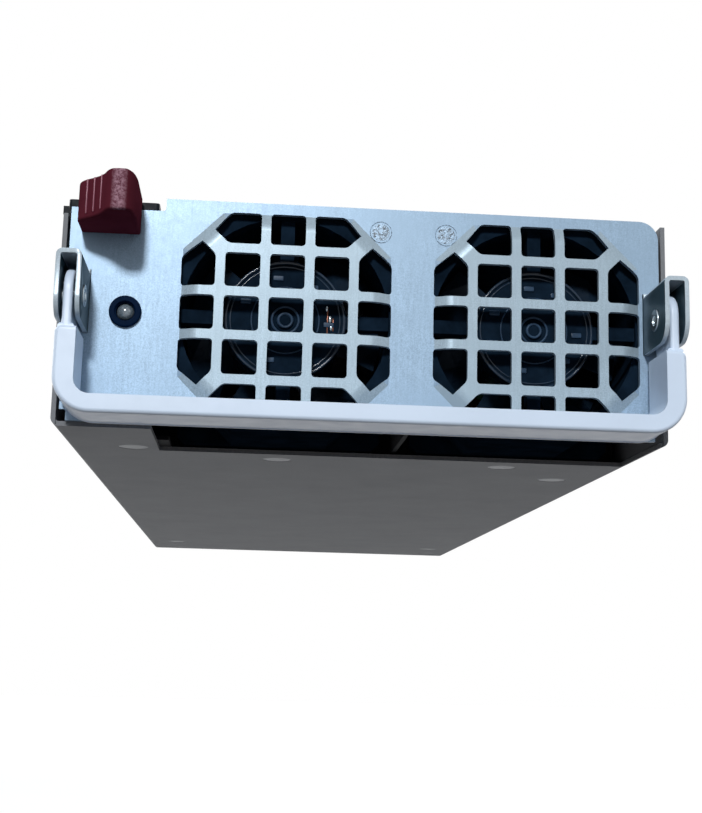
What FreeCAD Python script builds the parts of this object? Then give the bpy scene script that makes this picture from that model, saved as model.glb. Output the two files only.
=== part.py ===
import FreeCAD, Part
import Sketcher
import math
import os
import re

# Hot swap server power supply: a flat sheet metal box that slides into a bay.
# Frame: origin in the middle of the underside, X to the right seen from the handle end,
# the handle end at -Y, the docking plug at +Y, Z up. Millimetres.

doc = FreeCAD.newDocument("power_supply")
sheet = doc.addObject("Spreadsheet::Sheet", "Sizes")

# Driving sizes: name, value, what it measures
SIZES = [
    ("body_width", 105.8, "over the side walls"),
    ("body_height", 40.5, "underside to top"),
    ("body_length", 270.0, "front panel face to rear edge"),
    ("case_sheet", 0.8, "thickness of tray, cover and inner brackets"),
    ("case_bend", 1.3, "outer radius of the case bends"),
    ("seam", 0.1, "gap between nested sheet parts"),
    ("wall_setback", 0.6, "side walls start behind the panel face"),
    ("opening_inset", 16.7, "underside opening starts inside the left side"),
    ("opening_left", "=body_width / 2 - opening_inset", "underside opening, left edge from the middle"),
    ("opening_right", "=body_width / 2 - case_bend", "underside opening, right edge from the middle"),
    ("opening_depth", 25.8, "underside opening, from the panel face back"),
    ("cover_setback", 10.5, "cover starts behind the panel face"),
    ("cover_lip", 8.0, "height of the cover's side lips"),
    ("latch_bay_depth", 18.0, "cover and wall cut back over the latch"),
    ("latch_bay_width", 18.3, "cover cut back from the left side"),
    ("latch_bay_right", "=body_width / 2 - latch_bay_width",
     "right edge of the cover's cut, from the middle"),
    ("wall_notch_depth", 16.0, "side wall notch for the latch tooth"),
    ("wall_notch_drop", 3.4, "side wall notch, down from the top"),
    ("panel_gap", 0.6, "front panel's sides to the side walls"),
    ("panel_width", "=body_width - 2 * case_sheet - 2 * panel_gap", "front panel over its folded sides"),
    ("panel_sheet", 1.0, "front panel thickness"),
    ("panel_top_gap", 0.15, "front panel edge below the top"),
    ("panel_foot_gap", 0.8, "front panel edge above the underside"),
    ("panel_flange", 9.0, "depth of the panel's folded edges"),
    ("flange_foot", 4.0, "folded sides start above the underside"),
    ("panel_bend", 0.9, "outer radius of the panel's bends"),
    ("panel_corner", 3.4, "rounded top right corner"),
    ("notch_width", 16.15, "latch notch from the panel's left edge"),
    ("notch_depth", 2.25, "latch notch down from the panel's top edge"),
    ("foot_notch_width", 1.1, "panel's lower corners cut back, across"),
    ("foot_notch_height", 1.9, "panel's lower corners cut back, up"),
    ("control_strip", 19.0, "left side wall to the left fan, room for latch and lamp"),
    ("fan_between", 5.8, "gap between the two fans"),
    ("fan_side_gap", 3.4, "right fan to the right side wall"),
    ("fan_rise_gap", 0.45, "fans to the tray and to the cover"),
    ("fan_room_up", "=body_height - 2 * case_sheet - 2 * fan_rise_gap", "height left for a fan"),
    ("fan_room_across", "=(body_width - 2 * case_sheet - control_strip - fan_between - fan_side_gap) / 2",
     "width left for each fan"),
    ("fan_size", "=min(fan_room_up; fan_room_across)", "fan frame width and height"),
    ("fan_spacing", "=fan_size + fan_between", "between the two fan axes"),
    ("fan_offset", "=body_width / 2 - case_sheet - fan_side_gap - fan_size - fan_between / 2",
     "middle between the fans, right of the middle"),
    ("cell_pitch", "=fan_size * 7.68 / 38", "grille hole pitch"),
    ("cell_hole", "=fan_size * 6.05 / 38", "grille hole width"),
    ("cell_corner", 0.65, "grille hole corner radius"),
    ("grille_reach", "=fan_size * 18.2 / 38", "fan axis to the outermost hole edges"),
    ("tip_reach", "=fan_size * 14.75 / 38", "pointed hole: tip, far coordinate"),
    ("tip_rise", "=fan_size * 12.7 / 38", "pointed hole: tip, near coordinate"),
    ("tip_shoulder", "=fan_size * 9.9 / 38", "pointed hole: where the slope starts"),
    ("emboss_height", 1.2, "grille stands out of the panel"),
    ("emboss_half", "=fan_size * 15.6 / 38", "half width of the raised octagon"),
    ("emboss_chamfer", "=fan_size * 5.3 / 38", "cut corner of the raised octagon"),
    ("emboss_band", "=fan_size * 2.4 / 38", "width of its sloping band"),
    ("spot_spread", 5.75, "clinch spots left and right of the fan middle"),
    ("spot_drop", 4.4, "clinch spots below the top"),
    ("spot_width", 4.0, "clinch spot diameter"),
    ("spot_depth", 0.25, "clinch spot below the panel's face"),
    ("led_inset", 11.5, "indicator, inside the left side"),
    ("led_left", "=body_width / 2 - led_inset", "indicator, left of the middle"),
    ("led_drop", 0.4, "indicator, below the fan axes"),
    ("led_bezel_width", 5.6, "indicator bezel flange diameter"),
    ("led_lens_width", 3.2, "indicator lens diameter"),
    ("led_bezel_depth", 0.8, "bezel flange stands out of the panel"),
    ("led_body_step", 0.8, "indicator body narrower than its flange"),
    ("led_body_reach", 3.0, "indicator body behind the panel"),
    ("led_lens_inset", 0.7, "indicator lens behind the flange's face"),
    ("led_bevel", 0.4, "bevel of the indicator's flange"),
    ("led_board_drop", 4.5, "indicator board behind the panel"),
    ("led_board_sheet", 1.2, "indicator board thickness"),
    ("led_board_half", 5.0, "indicator board, from the lamp to its edges"),
    ("fan_depth", 28.0, "fan frame depth"),
    ("fan_corner", 1.5, "cut corner of the fan frame"),
    ("fan_waist", 0.23, "share of the fan's width that stays whole between its flanges"),
    ("fan_bore", "=fan_size * 36.2 / 38", "fan frame bore diameter"),
    ("fan_flange", 4.0, "depth of the frame's end flanges"),
    ("fan_hole_pitch", "=fan_size * 32.0 / 38", "fan mounting hole spacing"),
    ("fan_hole", 3.4, "fan mounting hole diameter"),
    ("fan_screw_reach", 5.0, "fan screw inside the fan frame"),
    ("fan_screw_head", 1.8, "fan screw head thickness"),
    ("hub_width", "=fan_size * 20.6 / 38", "rotor hub diameter"),
    ("hub_length", 20.0, "rotor hub length"),
    ("hub_bevel", 1.2, "bevel of the hub's rear edge"),
    ("blade_root_depth", 1.5, "blade roots inside the hub"),
    ("motor_plate", 2.8, "thickness of the fixed motor plate"),
    ("motor_plate_inset", 0.8, "motor plate behind the frame's face"),
    ("motor_plate_lip", 0.3, "motor plate wider than the hub, all round"),
    ("label_ring", 0.4, "depth of the ring in the motor plate"),
    ("shaft_seat", 0.8, "shaft bore starts behind the motor plate's face"),
    ("rotor_gap", 0.6, "motor plate to rotor hub"),
    ("shaft_width", 2.0, "rotor shaft diameter"),
    ("shaft_play", 0.04, "radial clearance of the rotor shaft"),
    ("blade_count", 7, "blades on a rotor"),
    ("blade_thickness", 1.0, "blade thickness at mid chord"),
    ("blade_root_chord", 14.5, "blade chord at the hub"),
    ("blade_tip_chord", 15.5, "blade chord at the tip"),
    ("blade_root_turn", 34.0, "blade angle from the axis at the hub"),
    ("blade_tip_turn", 57.0, "blade angle from the axis at the tip"),
    ("blade_camber", 1.6, "blade camber height"),
    ("blade_gap", 0.5, "blade tip to frame bore"),
    ("strut_width", 2.4, "strut width"),
    ("handle_offset", 0.5, "handle and brackets sit right of the middle"),
    ("bracket_inset", 4.8, "handle bracket inner cheek, inside the case's side"),
    ("bracket_inside", "=body_width / 2 - bracket_inset",
     "handle bracket inner cheek, from the handle's middle"),
    ("bracket_width", 4.15, "handle bracket over its cheeks"),
    ("bracket_sheet", 0.75, "handle bracket sheet"),
    ("bracket_bend", 1.05, "outer radius of the handle bracket's bends"),
    ("bracket_reach", 12.6, "handle bracket out of the panel"),
    ("bracket_rise", 6.4, "handle bracket top above the pivot"),
    ("bracket_drop", 4.6, "handle bracket foot below the pivot"),
    ("bracket_flange", 1.0, "welded flange behind the panel, beyond the cheek"),
    ("bracket_round", 3.6, "handle bracket lower front corner radius"),
    ("pivot_reach", 7.0, "handle pivot out of the panel"),
    ("pivot_rise", 0.3, "handle pivot above the fan axes"),
    ("pivot_width", 2.6, "pivot rivet diameter"),
    ("pivot_play", 0.05, "radial clearance of the pivot"),
    ("rivet_head", 4.4, "pivot rivet head diameter"),
    ("rivet_head_depth", 0.5, "pivot rivet head thickness"),
    ("rivet_roll", 0.25, "rivet's rolled ring inside the inner cheek"),
    ("rivet_roll_width", 3.8, "diameter of the rolled ring"),
    ("rivet_bore", 2.0, "hollow end of the rivet, diameter"),
    ("rivet_bore_depth", 0.6, "hollow end of the rivet, into the cheek"),
    ("bail_inset", 0.9, "handle arms inside the case's sides"),
    ("bail_width", "=body_width - 2 * bail_inset", "handle over its arms"),
    ("bail_arm", 3.6, "handle arm thickness"),
    ("bail_depth", 10.2, "handle depth, front to back"),
    ("bail_bar", 3.2, "handle bar height"),
    ("bail_foot_gap", 0.1, "handle bar above the underside"),
    ("bail_shoulder", 6.2, "arm shoulder below the pivot"),
    ("bail_tongue", 1.6, "thickness of the tongues in the brackets"),
    ("bail_tongue_depth", 8.4, "depth of the tongues"),
    ("bail_outer_round", 6.2, "outer corner radius of the handle"),
    ("bail_edge", 0.8, "bevel of the handle's front edges"),
    ("cap_inset", 3.3, "latch cap inside the left side"),
    ("cap_left", "=body_width / 2 - cap_inset", "latch cap left face, from the middle"),
    ("cap_width", 10.1, "latch cap width"),
    ("cap_top_gap", 0.1, "latch cap below the top"),
    ("cap_height", 7.0, "latch cap height"),
    ("cap_clear", 0.3, "latch cap in front of the panel"),
    ("cap_heel", 6.2, "latch cap reach at its left end"),
    ("cap_nose", 14.4, "latch cap reach at its nose"),
    ("cap_corner", 1.3, "latch cap, flat before its slope"),
    ("cap_step", 2.0, "latch cap, slope starts beyond its left end"),
    ("cap_slope_end", 5.6, "latch cap, slope ends from its left face"),
    ("cap_crest", 7.2, "latch cap, nose starts from its left face"),
    ("cap_fall", 2.6, "latch cap, slope ends before the nose"),
    ("cap_nose_round", 1.1, "radius of the nose's edges"),
    ("cap_rib", 0.4, "height of the cap's grip ribs"),
    ("lock_thickness", 1.5, "latch plate thickness"),
    ("lock_lift", 0.25, "latch plate above the notch edge"),
    ("lock_length", 16.3, "latch plate right end, inside the left side"),
    ("lock_right", "=body_width / 2 - lock_length", "latch plate right end, from the middle"),
    ("lock_depth", 13.0, "latch plate, panel back to its rear edge"),
    ("lock_side_gap", 0.7, "latch plate inside the left side"),
    ("lock_face_gap", 0.15, "latch plate behind the panel"),
    ("tongue_inset", 1.8, "latch plate's tongue, narrower than the cap at each side"),
    ("tooth_start", 4.0, "latch tooth behind the panel"),
    ("tooth_lead", 1.5, "slope behind the latch tooth"),
    ("hook_depth", 2.8, "spring hook behind the latch plate"),
    ("hook_width", 1.6, "spring hook width"),
    ("spring_seat", 0.9, "spring hook before the spring's end"),
    ("stud_row", 5.0, "guide studs behind the panel"),
    ("stud_first", 9.5, "first guide stud from the plate's right end"),
    ("stud_second", 3.6, "second guide stud from the plate's right end"),
    ("tooth_reach", 0.75, "latch tooth out of the side wall"),
    ("tooth_length", 6.0, "latch tooth along the side"),
    ("latch_ear", 4.65, "height of the latch shelf's welded flange"),
    ("shelf_gap", 0.4, "latch shelf beside the panel's folded side"),
    ("shelf_right", 1.5, "latch shelf beyond the plate's right end"),
    ("shelf_tail", 3.6, "latch shelf behind the plate"),
    ("latch_travel", 2.0, "latch travel to the right"),
    ("stud_width", 2.4, "latch guide stud diameter"),
    ("stud_play", 0.1, "clearance around a guide stud"),
    ("spring_width", 1.8, "latch spring swing, front to back"),
    ("spring_strip", 0.7, "latch spring strip, front to back"),
    ("spring_turns", 7, "latch spring folds"),
    ("spring_length", 8.0, "latch spring length when locked"),
    ("board_rise", 6.0, "main board above the underside"),
    ("board_sheet", 1.6, "main board thickness"),
    ("insulator_sheet", 0.4, "insulating sheet thickness"),
    ("board_margin", 2.0, "main board to the side walls"),
    ("foot_depth", 9.1, "foot of the fan bracket, front to back"),
    ("foot_inset", 2.0, "foot of the fan bracket, inside its ends"),
    ("board_clear", 3.0, "fan bracket to main board"),
    ("board_front", "=panel_sheet + case_sheet + seam + fan_depth + foot_depth + board_clear",
     "main board starts behind the panel"),
    ("board_rear", 7.0, "main board ends before the rear"),
    ("board_length", "=body_length - board_front - board_rear", "main board length"),
    ("standoff_width", 6.0, "standoff diameter"),
    ("standoff_inset", 9.6, "standoffs inside the case's sides"),
    ("standoff_side", "=body_width / 2 - standoff_inset", "standoffs left and right of the middle"),
    ("standoff_row", 6.8, "first standoffs behind the board's front edge"),
    ("standoff_first", "=board_front + standoff_row", "first standoffs behind the panel"),
    ("standoff_last", 30.0, "last standoffs before the rear edge"),
    ("screw_width", 3.0, "case screw diameter"),
    ("screw_head", 5.6, "case screw head diameter"),
    ("screw_head_depth", "=case_sheet - seam", "case screw head thickness"),
    ("screw_reach", 4.5, "case screws into the case"),
    ("screw_sink", 0.05, "case screw heads below the face"),
    ("nut_height", 2.4, "board nut height"),
    ("rivet_face", 4.0, "side rivet diameter"),
    ("rivet_rise", 0.2, "side rivet out of the wall"),
    ("rivet_height", 8.0, "side rivets above the underside"),
    ("foot_screw_inset", 2.9, "fan bracket screws behind the fans"),
    ("foot_screw_depth", "=panel_sheet + case_sheet + seam + fan_depth + foot_screw_inset",
     "fan bracket screws behind the panel"),
    ("side_screw_inset", 12.1, "screw of the left tab, inside the left side"),
    ("side_screw_left", "=body_width / 2 - side_screw_inset", "screw of the left tab, from the middle"),
    ("side_screw_depth", 22.8, "screw of the left tab behind the panel"),
    ("side_screw_row", 40.0, "cover screws from either end"),
    ("plug_width", 64.0, "docking plug width"),
    ("plug_height", 17.0, "docking plug height"),
    ("plug_reach", 9.0, "docking plug out of the rear panel"),
    ("plug_offset", 12.0, "docking plug right of the middle"),
    ("plug_depth", 14.0, "docking plug inside the rear panel"),
    ("plug_gap", 0.3, "rear panel around the docking plug"),
    ("slot_depth", 11.0, "depth of the docking plug's slots"),
    ("slot_half", 1.7, "half width of a power slot"),
    ("blade_sheet", 1.0, "docking power blade thickness"),
    ("pin_pitch", 3.0, "signal pin pitch across"),
    ("pin_rise", 3.4, "signal pin pitch up"),
    ("pin_width", 0.6, "signal pin width"),
    ("blade_pitch", 6.4, "docking power blade pitch"),
    ("vent_pitch", 6.0, "rear vent slot pitch"),
    ("vent_width", 3.6, "rear vent slot width"),
    ("vent_margin", 4.0, "vent slots above the plug and below the top"),
    ("vent_foot", 5.0, "lower vent slots above the underside"),
    ("heatsink_height", "=body_height - case_sheet - board_rise - board_sheet - 6.1",
     "heatsinks above the main board"),
    ("primary_sink_x", "=-body_width / 2 + 4.90", "left edge of the primary heatsink, from the middle"),
    ("primary_sink_y", "=board_front - body_length / 2 + board_length * 0.1493",
     "primary heatsink starts, from the middle to the rear"),
    ("primary_sink_length", "=board_length * 0.2715", "primary heatsink length"),
    ("primary_sink_width", 14.0, "primary heatsink width"),
    ("secondary_sink_x", "=body_width / 2 - 44.90", "left edge of the secondary heatsink, from the middle"),
    ("secondary_sink_y", "=board_front - body_length / 2 + board_length * 0.4842",
     "secondary heatsink starts, from the middle to the rear"),
    ("secondary_sink_length", "=board_length * 0.2172", "secondary heatsink length"),
    ("secondary_sink_width", 16.0, "secondary heatsink width"),
    ("sink_base", 3.0, "heatsink base thickness"),
    ("sink_fin", 1.4, "heatsink fin thickness"),
    ("input_choke_x", "=-body_width / 2 + 20.90", "input choke, right of the middle"),
    ("input_choke_y", "=board_front - body_length / 2 + board_length * 0.7647",
     "input choke, from the middle to the rear"),
    ("boost_choke_x", "=body_width / 2 - 16.40", "boost choke, right of the middle"),
    ("boost_choke_y", "=board_front - body_length / 2 + board_length * 0.1131",
     "boost choke, from the middle to the rear"),
    ("output_choke_x", "=body_width / 2 - 16.90", "output choke, right of the middle"),
    ("output_choke_y", "=board_front - body_length / 2 + board_length * 0.8009",
     "output choke, from the middle to the rear"),
    ("choke_width", 24.0, "wound ring diameter"),
    ("choke_depth", 9.0, "wound ring height and thickness"),
    ("transformer_x", "=body_width / 2 - 20.90", "transformer, right of the middle"),
    ("transformer_y", "=board_front - body_length / 2 + board_length * 0.3122",
     "transformer, from the middle to the rear"),
    ("core_width", 34.0, "transformer core width"),
    ("core_depth", 26.0, "transformer core depth"),
    ("core_height", "=body_height - case_sheet - board_rise - board_sheet - 5.1",
     "transformer core height"),
    ("core_limb", 5.0, "transformer core limb"),
    ("winding_width", 23.0, "transformer winding width"),
    ("winding_depth", 34.0, "transformer winding depth"),
    ("can_width", 25.0, "large capacitor diameter"),
    ("can_length", "=board_length * 0.2036", "large capacitor length"),
    ("can_x", "=-body_width / 2 + 34.90", "first large capacitor, right of the middle"),
    ("can_y", "=board_front - body_length / 2 + board_length * 0.0226",
     "large capacitors start, from the middle to the rear"),
    ("small_can_width", 8.0, "small capacitor diameter"),
    ("small_can_height", 16.0, "small capacitor height"),
    ("small_can_x", -4.0, "first small capacitor, right of the middle"),
    ("small_can_y", "=board_front - body_length / 2 + board_length * 0.8009",
     "first small capacitor, from the middle to the rear"),
    ("film_x", "=-body_width / 2 + 15.90", "film capacitor left end, from the middle"),
    ("film_y", "=board_front - body_length / 2 + board_length * 0.8462",
     "film capacitor, from the middle to the rear"),
    ("film_width", 24.0, "film capacitor width"),
    ("film_depth", 10.0, "film capacitor depth"),
    ("film_height", 20.0, "film capacitor height"),
    ("control_length", "=board_length * 0.2081", "control card length"),
    ("control_x", -8.0, "control card, right of the middle"),
    ("control_y", "=board_front - body_length / 2 + board_length * 0.2579",
     "control card starts, from the middle to the rear"),
]

NAMES = [name for name, value, note in SIZES]
for row, (name, value, note) in enumerate(SIZES, start=1):
    sheet.set("A%d" % row, note)
    sheet.set("B%d" % row, str(value))
    sheet.setAlias("B%d" % row, name)
doc.recompute()
VALUE = {name: float(sheet.get(name)) for name in NAMES}

# Derived places, written as formulas of the named sizes
FRONT = "-body_length / 2"
REAR = "body_length / 2"
PANEL_BACK = "-body_length / 2 + panel_sheet"
AXIS_Z = "body_height / 2"
LEFT_FAN_X = "fan_offset - fan_spacing / 2"
RIGHT_FAN_X = "fan_offset + fan_spacing / 2"
FAN_FRONT = "-body_length / 2 + panel_sheet + case_sheet + seam"
FAN_REAR = "-body_length / 2 + panel_sheet + case_sheet + seam + fan_depth"
WALL_X = "body_width / 2"
WALL_IN = "(body_width / 2 - case_sheet)"
COVER_Z = "(body_height - case_sheet)"
PANEL_TOP = "(body_height - panel_top_gap)"
NOTCH_Z = "(body_height - panel_top_gap - notch_depth)"
PANEL_X = "panel_width / 2"
PIVOT_Y = "-body_length / 2 - pivot_reach"
PIVOT_Z = "(body_height / 2 + pivot_rise)"
LOCK_Z = "(body_height - panel_top_gap - notch_depth + lock_lift)"
LATCH_EAR_Z = "(body_height - panel_top_gap - notch_depth + lock_lift - seam - latch_ear)"
BOARD_TOP = "(board_rise + board_sheet)"
BRACKET_OUT = "(bracket_inside + bracket_width)"

PLANES = {"XY": "XY_Plane", "XZ": "XZ_Plane", "YZ": "YZ_Plane"}
pieces = {}


def formula(text):
    """Put the sheet's name before every size name in a formula."""
    def prefix(match):
        word = match.group()
        return "Sizes." + word if word in VALUE else word
    return re.sub(r"[a-z][a-z_0-9]*", prefix, str(text))


def bind(thing, **cells):
    """Bind properties to formulas; two underscores stand for a dot."""
    for name, text in cells.items():
        thing.setExpression(name.replace("__", "."), formula(text))


def place(thing, x="0", y="0", z="0"):
    bind(thing, Placement__Base__x=x, Placement__Base__y=y, Placement__Base__z=z)


def keep(label, thing):
    """Register a finished piece under the name of its file."""
    thing.Label = label
    pieces[label] = thing
    return thing


# Sketch shapes: each returns a function that draws into a sketch

def fix_point(sketch, geometry, point, x, y):
    for kind, text in (("DistanceX", x), ("DistanceY", y)):
        index = sketch.addConstraint(Sketcher.Constraint(kind, -1, 1, geometry, point, 1.0))
        sketch.setExpression("Constraints[%d]" % index, formula(text))


def polygon(*corners):
    def draw(sketch):
        count = len(corners)
        start = sketch.GeometryCount
        guess = [FreeCAD.Vector(math.cos(2 * math.pi * k / count), math.sin(2 * math.pi * k / count), 0)
                 for k in range(count)]
        lines = [Part.LineSegment(guess[k], guess[(k + 1) % count]) for k in range(count)]
        sketch.addGeometry(lines, False)
        sketch.addConstraint([
            Sketcher.Constraint("Coincident", start + k, 2, start + (k + 1) % count, 1)
            for k in range(count)])
        for k, (x, y) in enumerate(corners):
            fix_point(sketch, start + k, 1, x, y)
    return draw


def rectangle(x0, x1, y0, y1):
    return polygon((x0, y0), (x1, y0), (x1, y1), (x0, y1))


def circle(x, y, width):
    def draw(sketch):
        index = sketch.addGeometry(
            Part.Circle(FreeCAD.Vector(1, 1, 0), FreeCAD.Vector(0, 0, 1), 2), False)
        fix_point(sketch, index, 3, x, y)
        radius = sketch.addConstraint(Sketcher.Constraint("Radius", index, 2.0))
        sketch.setExpression("Constraints[%d]" % radius, formula("(%s) / 2" % width))
    return draw


def ring(x, y, width, sides=12):
    """A small round outline drawn with flats."""
    corners = []
    for k in range(sides):
        angle = 2 * math.pi * (k + 0.5) / sides
        corners.append(("(%s) + %.5f * (%s)" % (x, math.cos(angle) / 2, width),
                        "(%s) + %.5f * (%s)" % (y, math.sin(angle) / 2, width)))
    return polygon(*corners)


# Solid operations on a body

def new_body(label):
    body = doc.addObject("PartDesign::Body", label)
    return body


def origin_part(body, role):
    return [part for part in body.Origin.OriginFeatures if part.Role == role][0]


def sketch_on(body, plane, level, shapes):
    """A sketch parallel to an origin plane, at the given coordinate across it."""
    sketch = body.newObject("Sketcher::SketchObject", "outline")
    sketch.AttachmentSupport = (origin_part(body, PLANES[plane]), "")
    sketch.MapMode = "FlatFace"
    offset = "-(%s)" % level if plane == "XZ" else "(%s)" % level
    bind(sketch, AttachmentOffset__Base__z=offset)
    for draw in shapes:
        draw(sketch)
    return sketch


def add(body, plane, low, high, *shapes):
    """Pad sketch shapes from coordinate low to coordinate high."""
    pad = body.newObject("PartDesign::Pad", "pad")
    pad.Profile = sketch_on(body, plane, low, shapes)
    pad.Reversed = plane == "XZ"
    bind(pad, Length="(%s) - (%s)" % (high, low))
    doc.recompute()
    return pad


def cut(body, plane, low, high, *shapes):
    """Pocket sketch shapes from coordinate low to coordinate high."""
    before = body.Shape.Volume
    pocket = body.newObject("PartDesign::Pocket", "pocket")
    pocket.Profile = sketch_on(body, plane, low, shapes)
    pocket.Reversed = plane != "XZ"
    bind(pocket, Length="(%s) - (%s)" % (high, low))
    doc.recompute()
    if body.Shape.Volume >= before:
        raise RuntimeError("%s: a pocket cut nothing" % body.Label)
    return pocket


def loft(body, plane, low, high, first, second, remove=False):
    """Loft one sketch shape into another, as material or as a hollow."""
    kind = "PartDesign::SubtractiveLoft" if remove else "PartDesign::AdditiveLoft"
    start = sketch_on(body, plane, low, [first])
    end = sketch_on(body, plane, high, [second])
    feature = body.newObject(kind, "loft")
    feature.Profile = start
    feature.Sections = [end]
    feature.Ruled = True
    doc.recompute()
    return feature


def round_edges(body, radius, wanted):
    """Fillet the edges of the body's last shape that the test picks."""
    base = body.Tip
    names = ["Edge%d" % k for k, edge in enumerate(base.Shape.Edges, start=1) if wanted(edge)]
    if not names:
        raise RuntimeError("%s: no edge to round" % body.Label)
    fillet = body.newObject("PartDesign::Fillet", "rounding")
    fillet.Base = (base, names)
    bind(fillet, Radius=radius)
    doc.recompute()
    return fillet


def bevel_edges(body, width, wanted):
    """Chamfer the edges of the body's last shape that the test picks."""
    base = body.Tip
    names = ["Edge%d" % k for k, edge in enumerate(base.Shape.Edges, start=1) if wanted(edge)]
    if not names:
        raise RuntimeError("%s: no edge to bevel" % body.Label)
    chamfer = body.newObject("PartDesign::Chamfer", "bevel")
    chamfer.Base = (base, names)
    bind(chamfer, Size=width)
    doc.recompute()
    return chamfer


def along(edge, axis):
    """True for a straight edge parallel to an axis vector."""
    if edge.Curve.TypeId != "Part::GeomLine":
        return False
    return abs(abs(edge.Curve.Direction.dot(axis)) - 1) < 1e-6


def near(value, target):
    return abs(value - target) < 0.01


X_AXIS = FreeCAD.Vector(1, 0, 0)
Y_AXIS = FreeCAD.Vector(0, 1, 0)
Z_AXIS = FreeCAD.Vector(0, 0, 1)


def cylinder(name, axis, width, low, high, x="0", y="0", z="0"):
    """A round bar along an axis; the coordinate along the axis is ignored in x, y or z."""
    bar = doc.addObject("Part::Cylinder", name)
    bind(bar, Radius="(%s) / 2" % width, Height="(%s) - (%s)" % (high, low))
    if axis == "X":
        bar.Placement.Rotation = FreeCAD.Rotation(Y_AXIS, 90)
        place(bar, low, y, z)
    elif axis == "Y":
        bar.Placement.Rotation = FreeCAD.Rotation(X_AXIS, -90)
        place(bar, x, low, z)
    else:
        place(bar, x, y, low)
    return bar


def peg(name, axis, width, low, high, x="0", y="0", z="0", sides=12):
    """A small round bar drawn with flats, along an axis."""
    bar = doc.addObject("Part::Prism", name)
    bar.Polygon = sides
    bind(bar, Circumradius="(%s) / 2" % width, Height="(%s) - (%s)" % (high, low))
    half_turn = 180 / sides
    if axis == "X":
        bar.Placement.Rotation = FreeCAD.Rotation(Y_AXIS, 90) * FreeCAD.Rotation(Z_AXIS, half_turn)
        place(bar, low, y, z)
    elif axis == "Y":
        bar.Placement.Rotation = FreeCAD.Rotation(X_AXIS, -90) * FreeCAD.Rotation(Z_AXIS, half_turn)
        place(bar, x, low, z)
    else:
        bar.Placement.Rotation = FreeCAD.Rotation(Z_AXIS, half_turn)
        place(bar, x, y, low)
    return bar


def block(name, x0, x1, y0, y1, z0, z1):
    box = doc.addObject("Part::Box", name)
    bind(box, Length="(%s) - (%s)" % (x1, x0), Width="(%s) - (%s)" % (y1, y0),
         Height="(%s) - (%s)" % (z1, z0))
    place(box, x0, y0, z0)
    return box


def fuse(name, things):
    joined = doc.addObject("Part::MultiFuse", name)
    joined.Shapes = things
    return joined


def subtract(name, base, tool):
    result = doc.addObject("Part::Cut", name)
    result.Base = base
    result.Tool = tool
    return result


def group(name, things):
    """Separate equal solids that share one node."""
    together = doc.addObject("Part::Compound", name)
    together.Links = things
    return together


def mirrored(name, thing, middle="0"):
    """The same piece on the other side of an upright plane."""
    other = doc.addObject("Part::Mirroring", name)
    other.Source = thing
    other.Normal = X_AXIS
    bind(other, Base__x=middle)
    return other


# Case

BOTTOM_SCREWS = [
    (LEFT_FAN_X, FRONT + " + foot_screw_depth"),
    (RIGHT_FAN_X, FRONT + " + foot_screw_depth"),
    ("-side_screw_left", FRONT + " + side_screw_depth"),
]
STANDOFF_ROWS = ["standoff_first", "(standoff_first + body_length - standoff_last) / 2",
                 "body_length - standoff_last"]
STANDOFFS = [(side + "standoff_side", FRONT + " + " + depth)
             for depth in STANDOFF_ROWS for side in ("-", "")]
STANDOFF_SCREWS = [STANDOFFS[1], STANDOFFS[4], STANDOFFS[5]]
SIDE_SCREW_ROWS = ["side_screw_row", "body_length - side_screw_row"]
SIDE_SCREW_Z = "body_height - cover_lip / 2 - case_sheet"


def chassis_tray():
    """Folded tray: bottom and two side walls, open underneath at the fans."""
    body = new_body("chassis_tray")
    start = FRONT + " + wall_setback"
    add(body, "XZ", start, REAR, polygon(
        ("-" + WALL_X, "0"), (WALL_X, "0"), (WALL_X, COVER_Z), (WALL_IN, COVER_Z),
        (WALL_IN, "case_sheet"), ("-" + WALL_IN, "case_sheet"),
        ("-" + WALL_IN, COVER_Z), ("-" + WALL_X, COVER_Z)))
    half = VALUE["body_width"] / 2
    inner = half - VALUE["case_sheet"]
    round_edges(body, "case_bend", lambda edge: along(edge, Y_AXIS)
                and near(edge.CenterOfMass.z, 0) and near(abs(edge.CenterOfMass.x), half))
    round_edges(body, "case_bend - case_sheet", lambda edge: along(edge, Y_AXIS)
                and near(edge.CenterOfMass.z, VALUE["case_sheet"])
                and near(abs(edge.CenterOfMass.x), inner))
    cut(body, "XY", "-1", "case_sheet + 1", rectangle(
        "-opening_left", "opening_right", FRONT + " - 1", FRONT + " + opening_depth"))
    cut(body, "XY", "-1", "case_sheet + 1", rectangle(
        "-" + WALL_IN, WALL_IN, FRONT + " - 1", PANEL_BACK + " + seam"))
    cut(body, "YZ", "-body_width / 2 - 1", "-body_width / 2 + case_sheet + 1", rectangle(
        FRONT + " - 1", FRONT + " + wall_notch_depth", "body_height - wall_notch_drop", "body_height"))
    cut(body, "XY", "-1", "case_sheet + 1",
        *[ring(x, y, "screw_head") for x, y in BOTTOM_SCREWS + STANDOFF_SCREWS])
    cut(body, "YZ", "-body_width", "body_width",
        *[ring(FRONT + " + " + row, SIDE_SCREW_Z, "screw_head") for row in SIDE_SCREW_ROWS])
    keep("chassis_tray", body)


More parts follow.
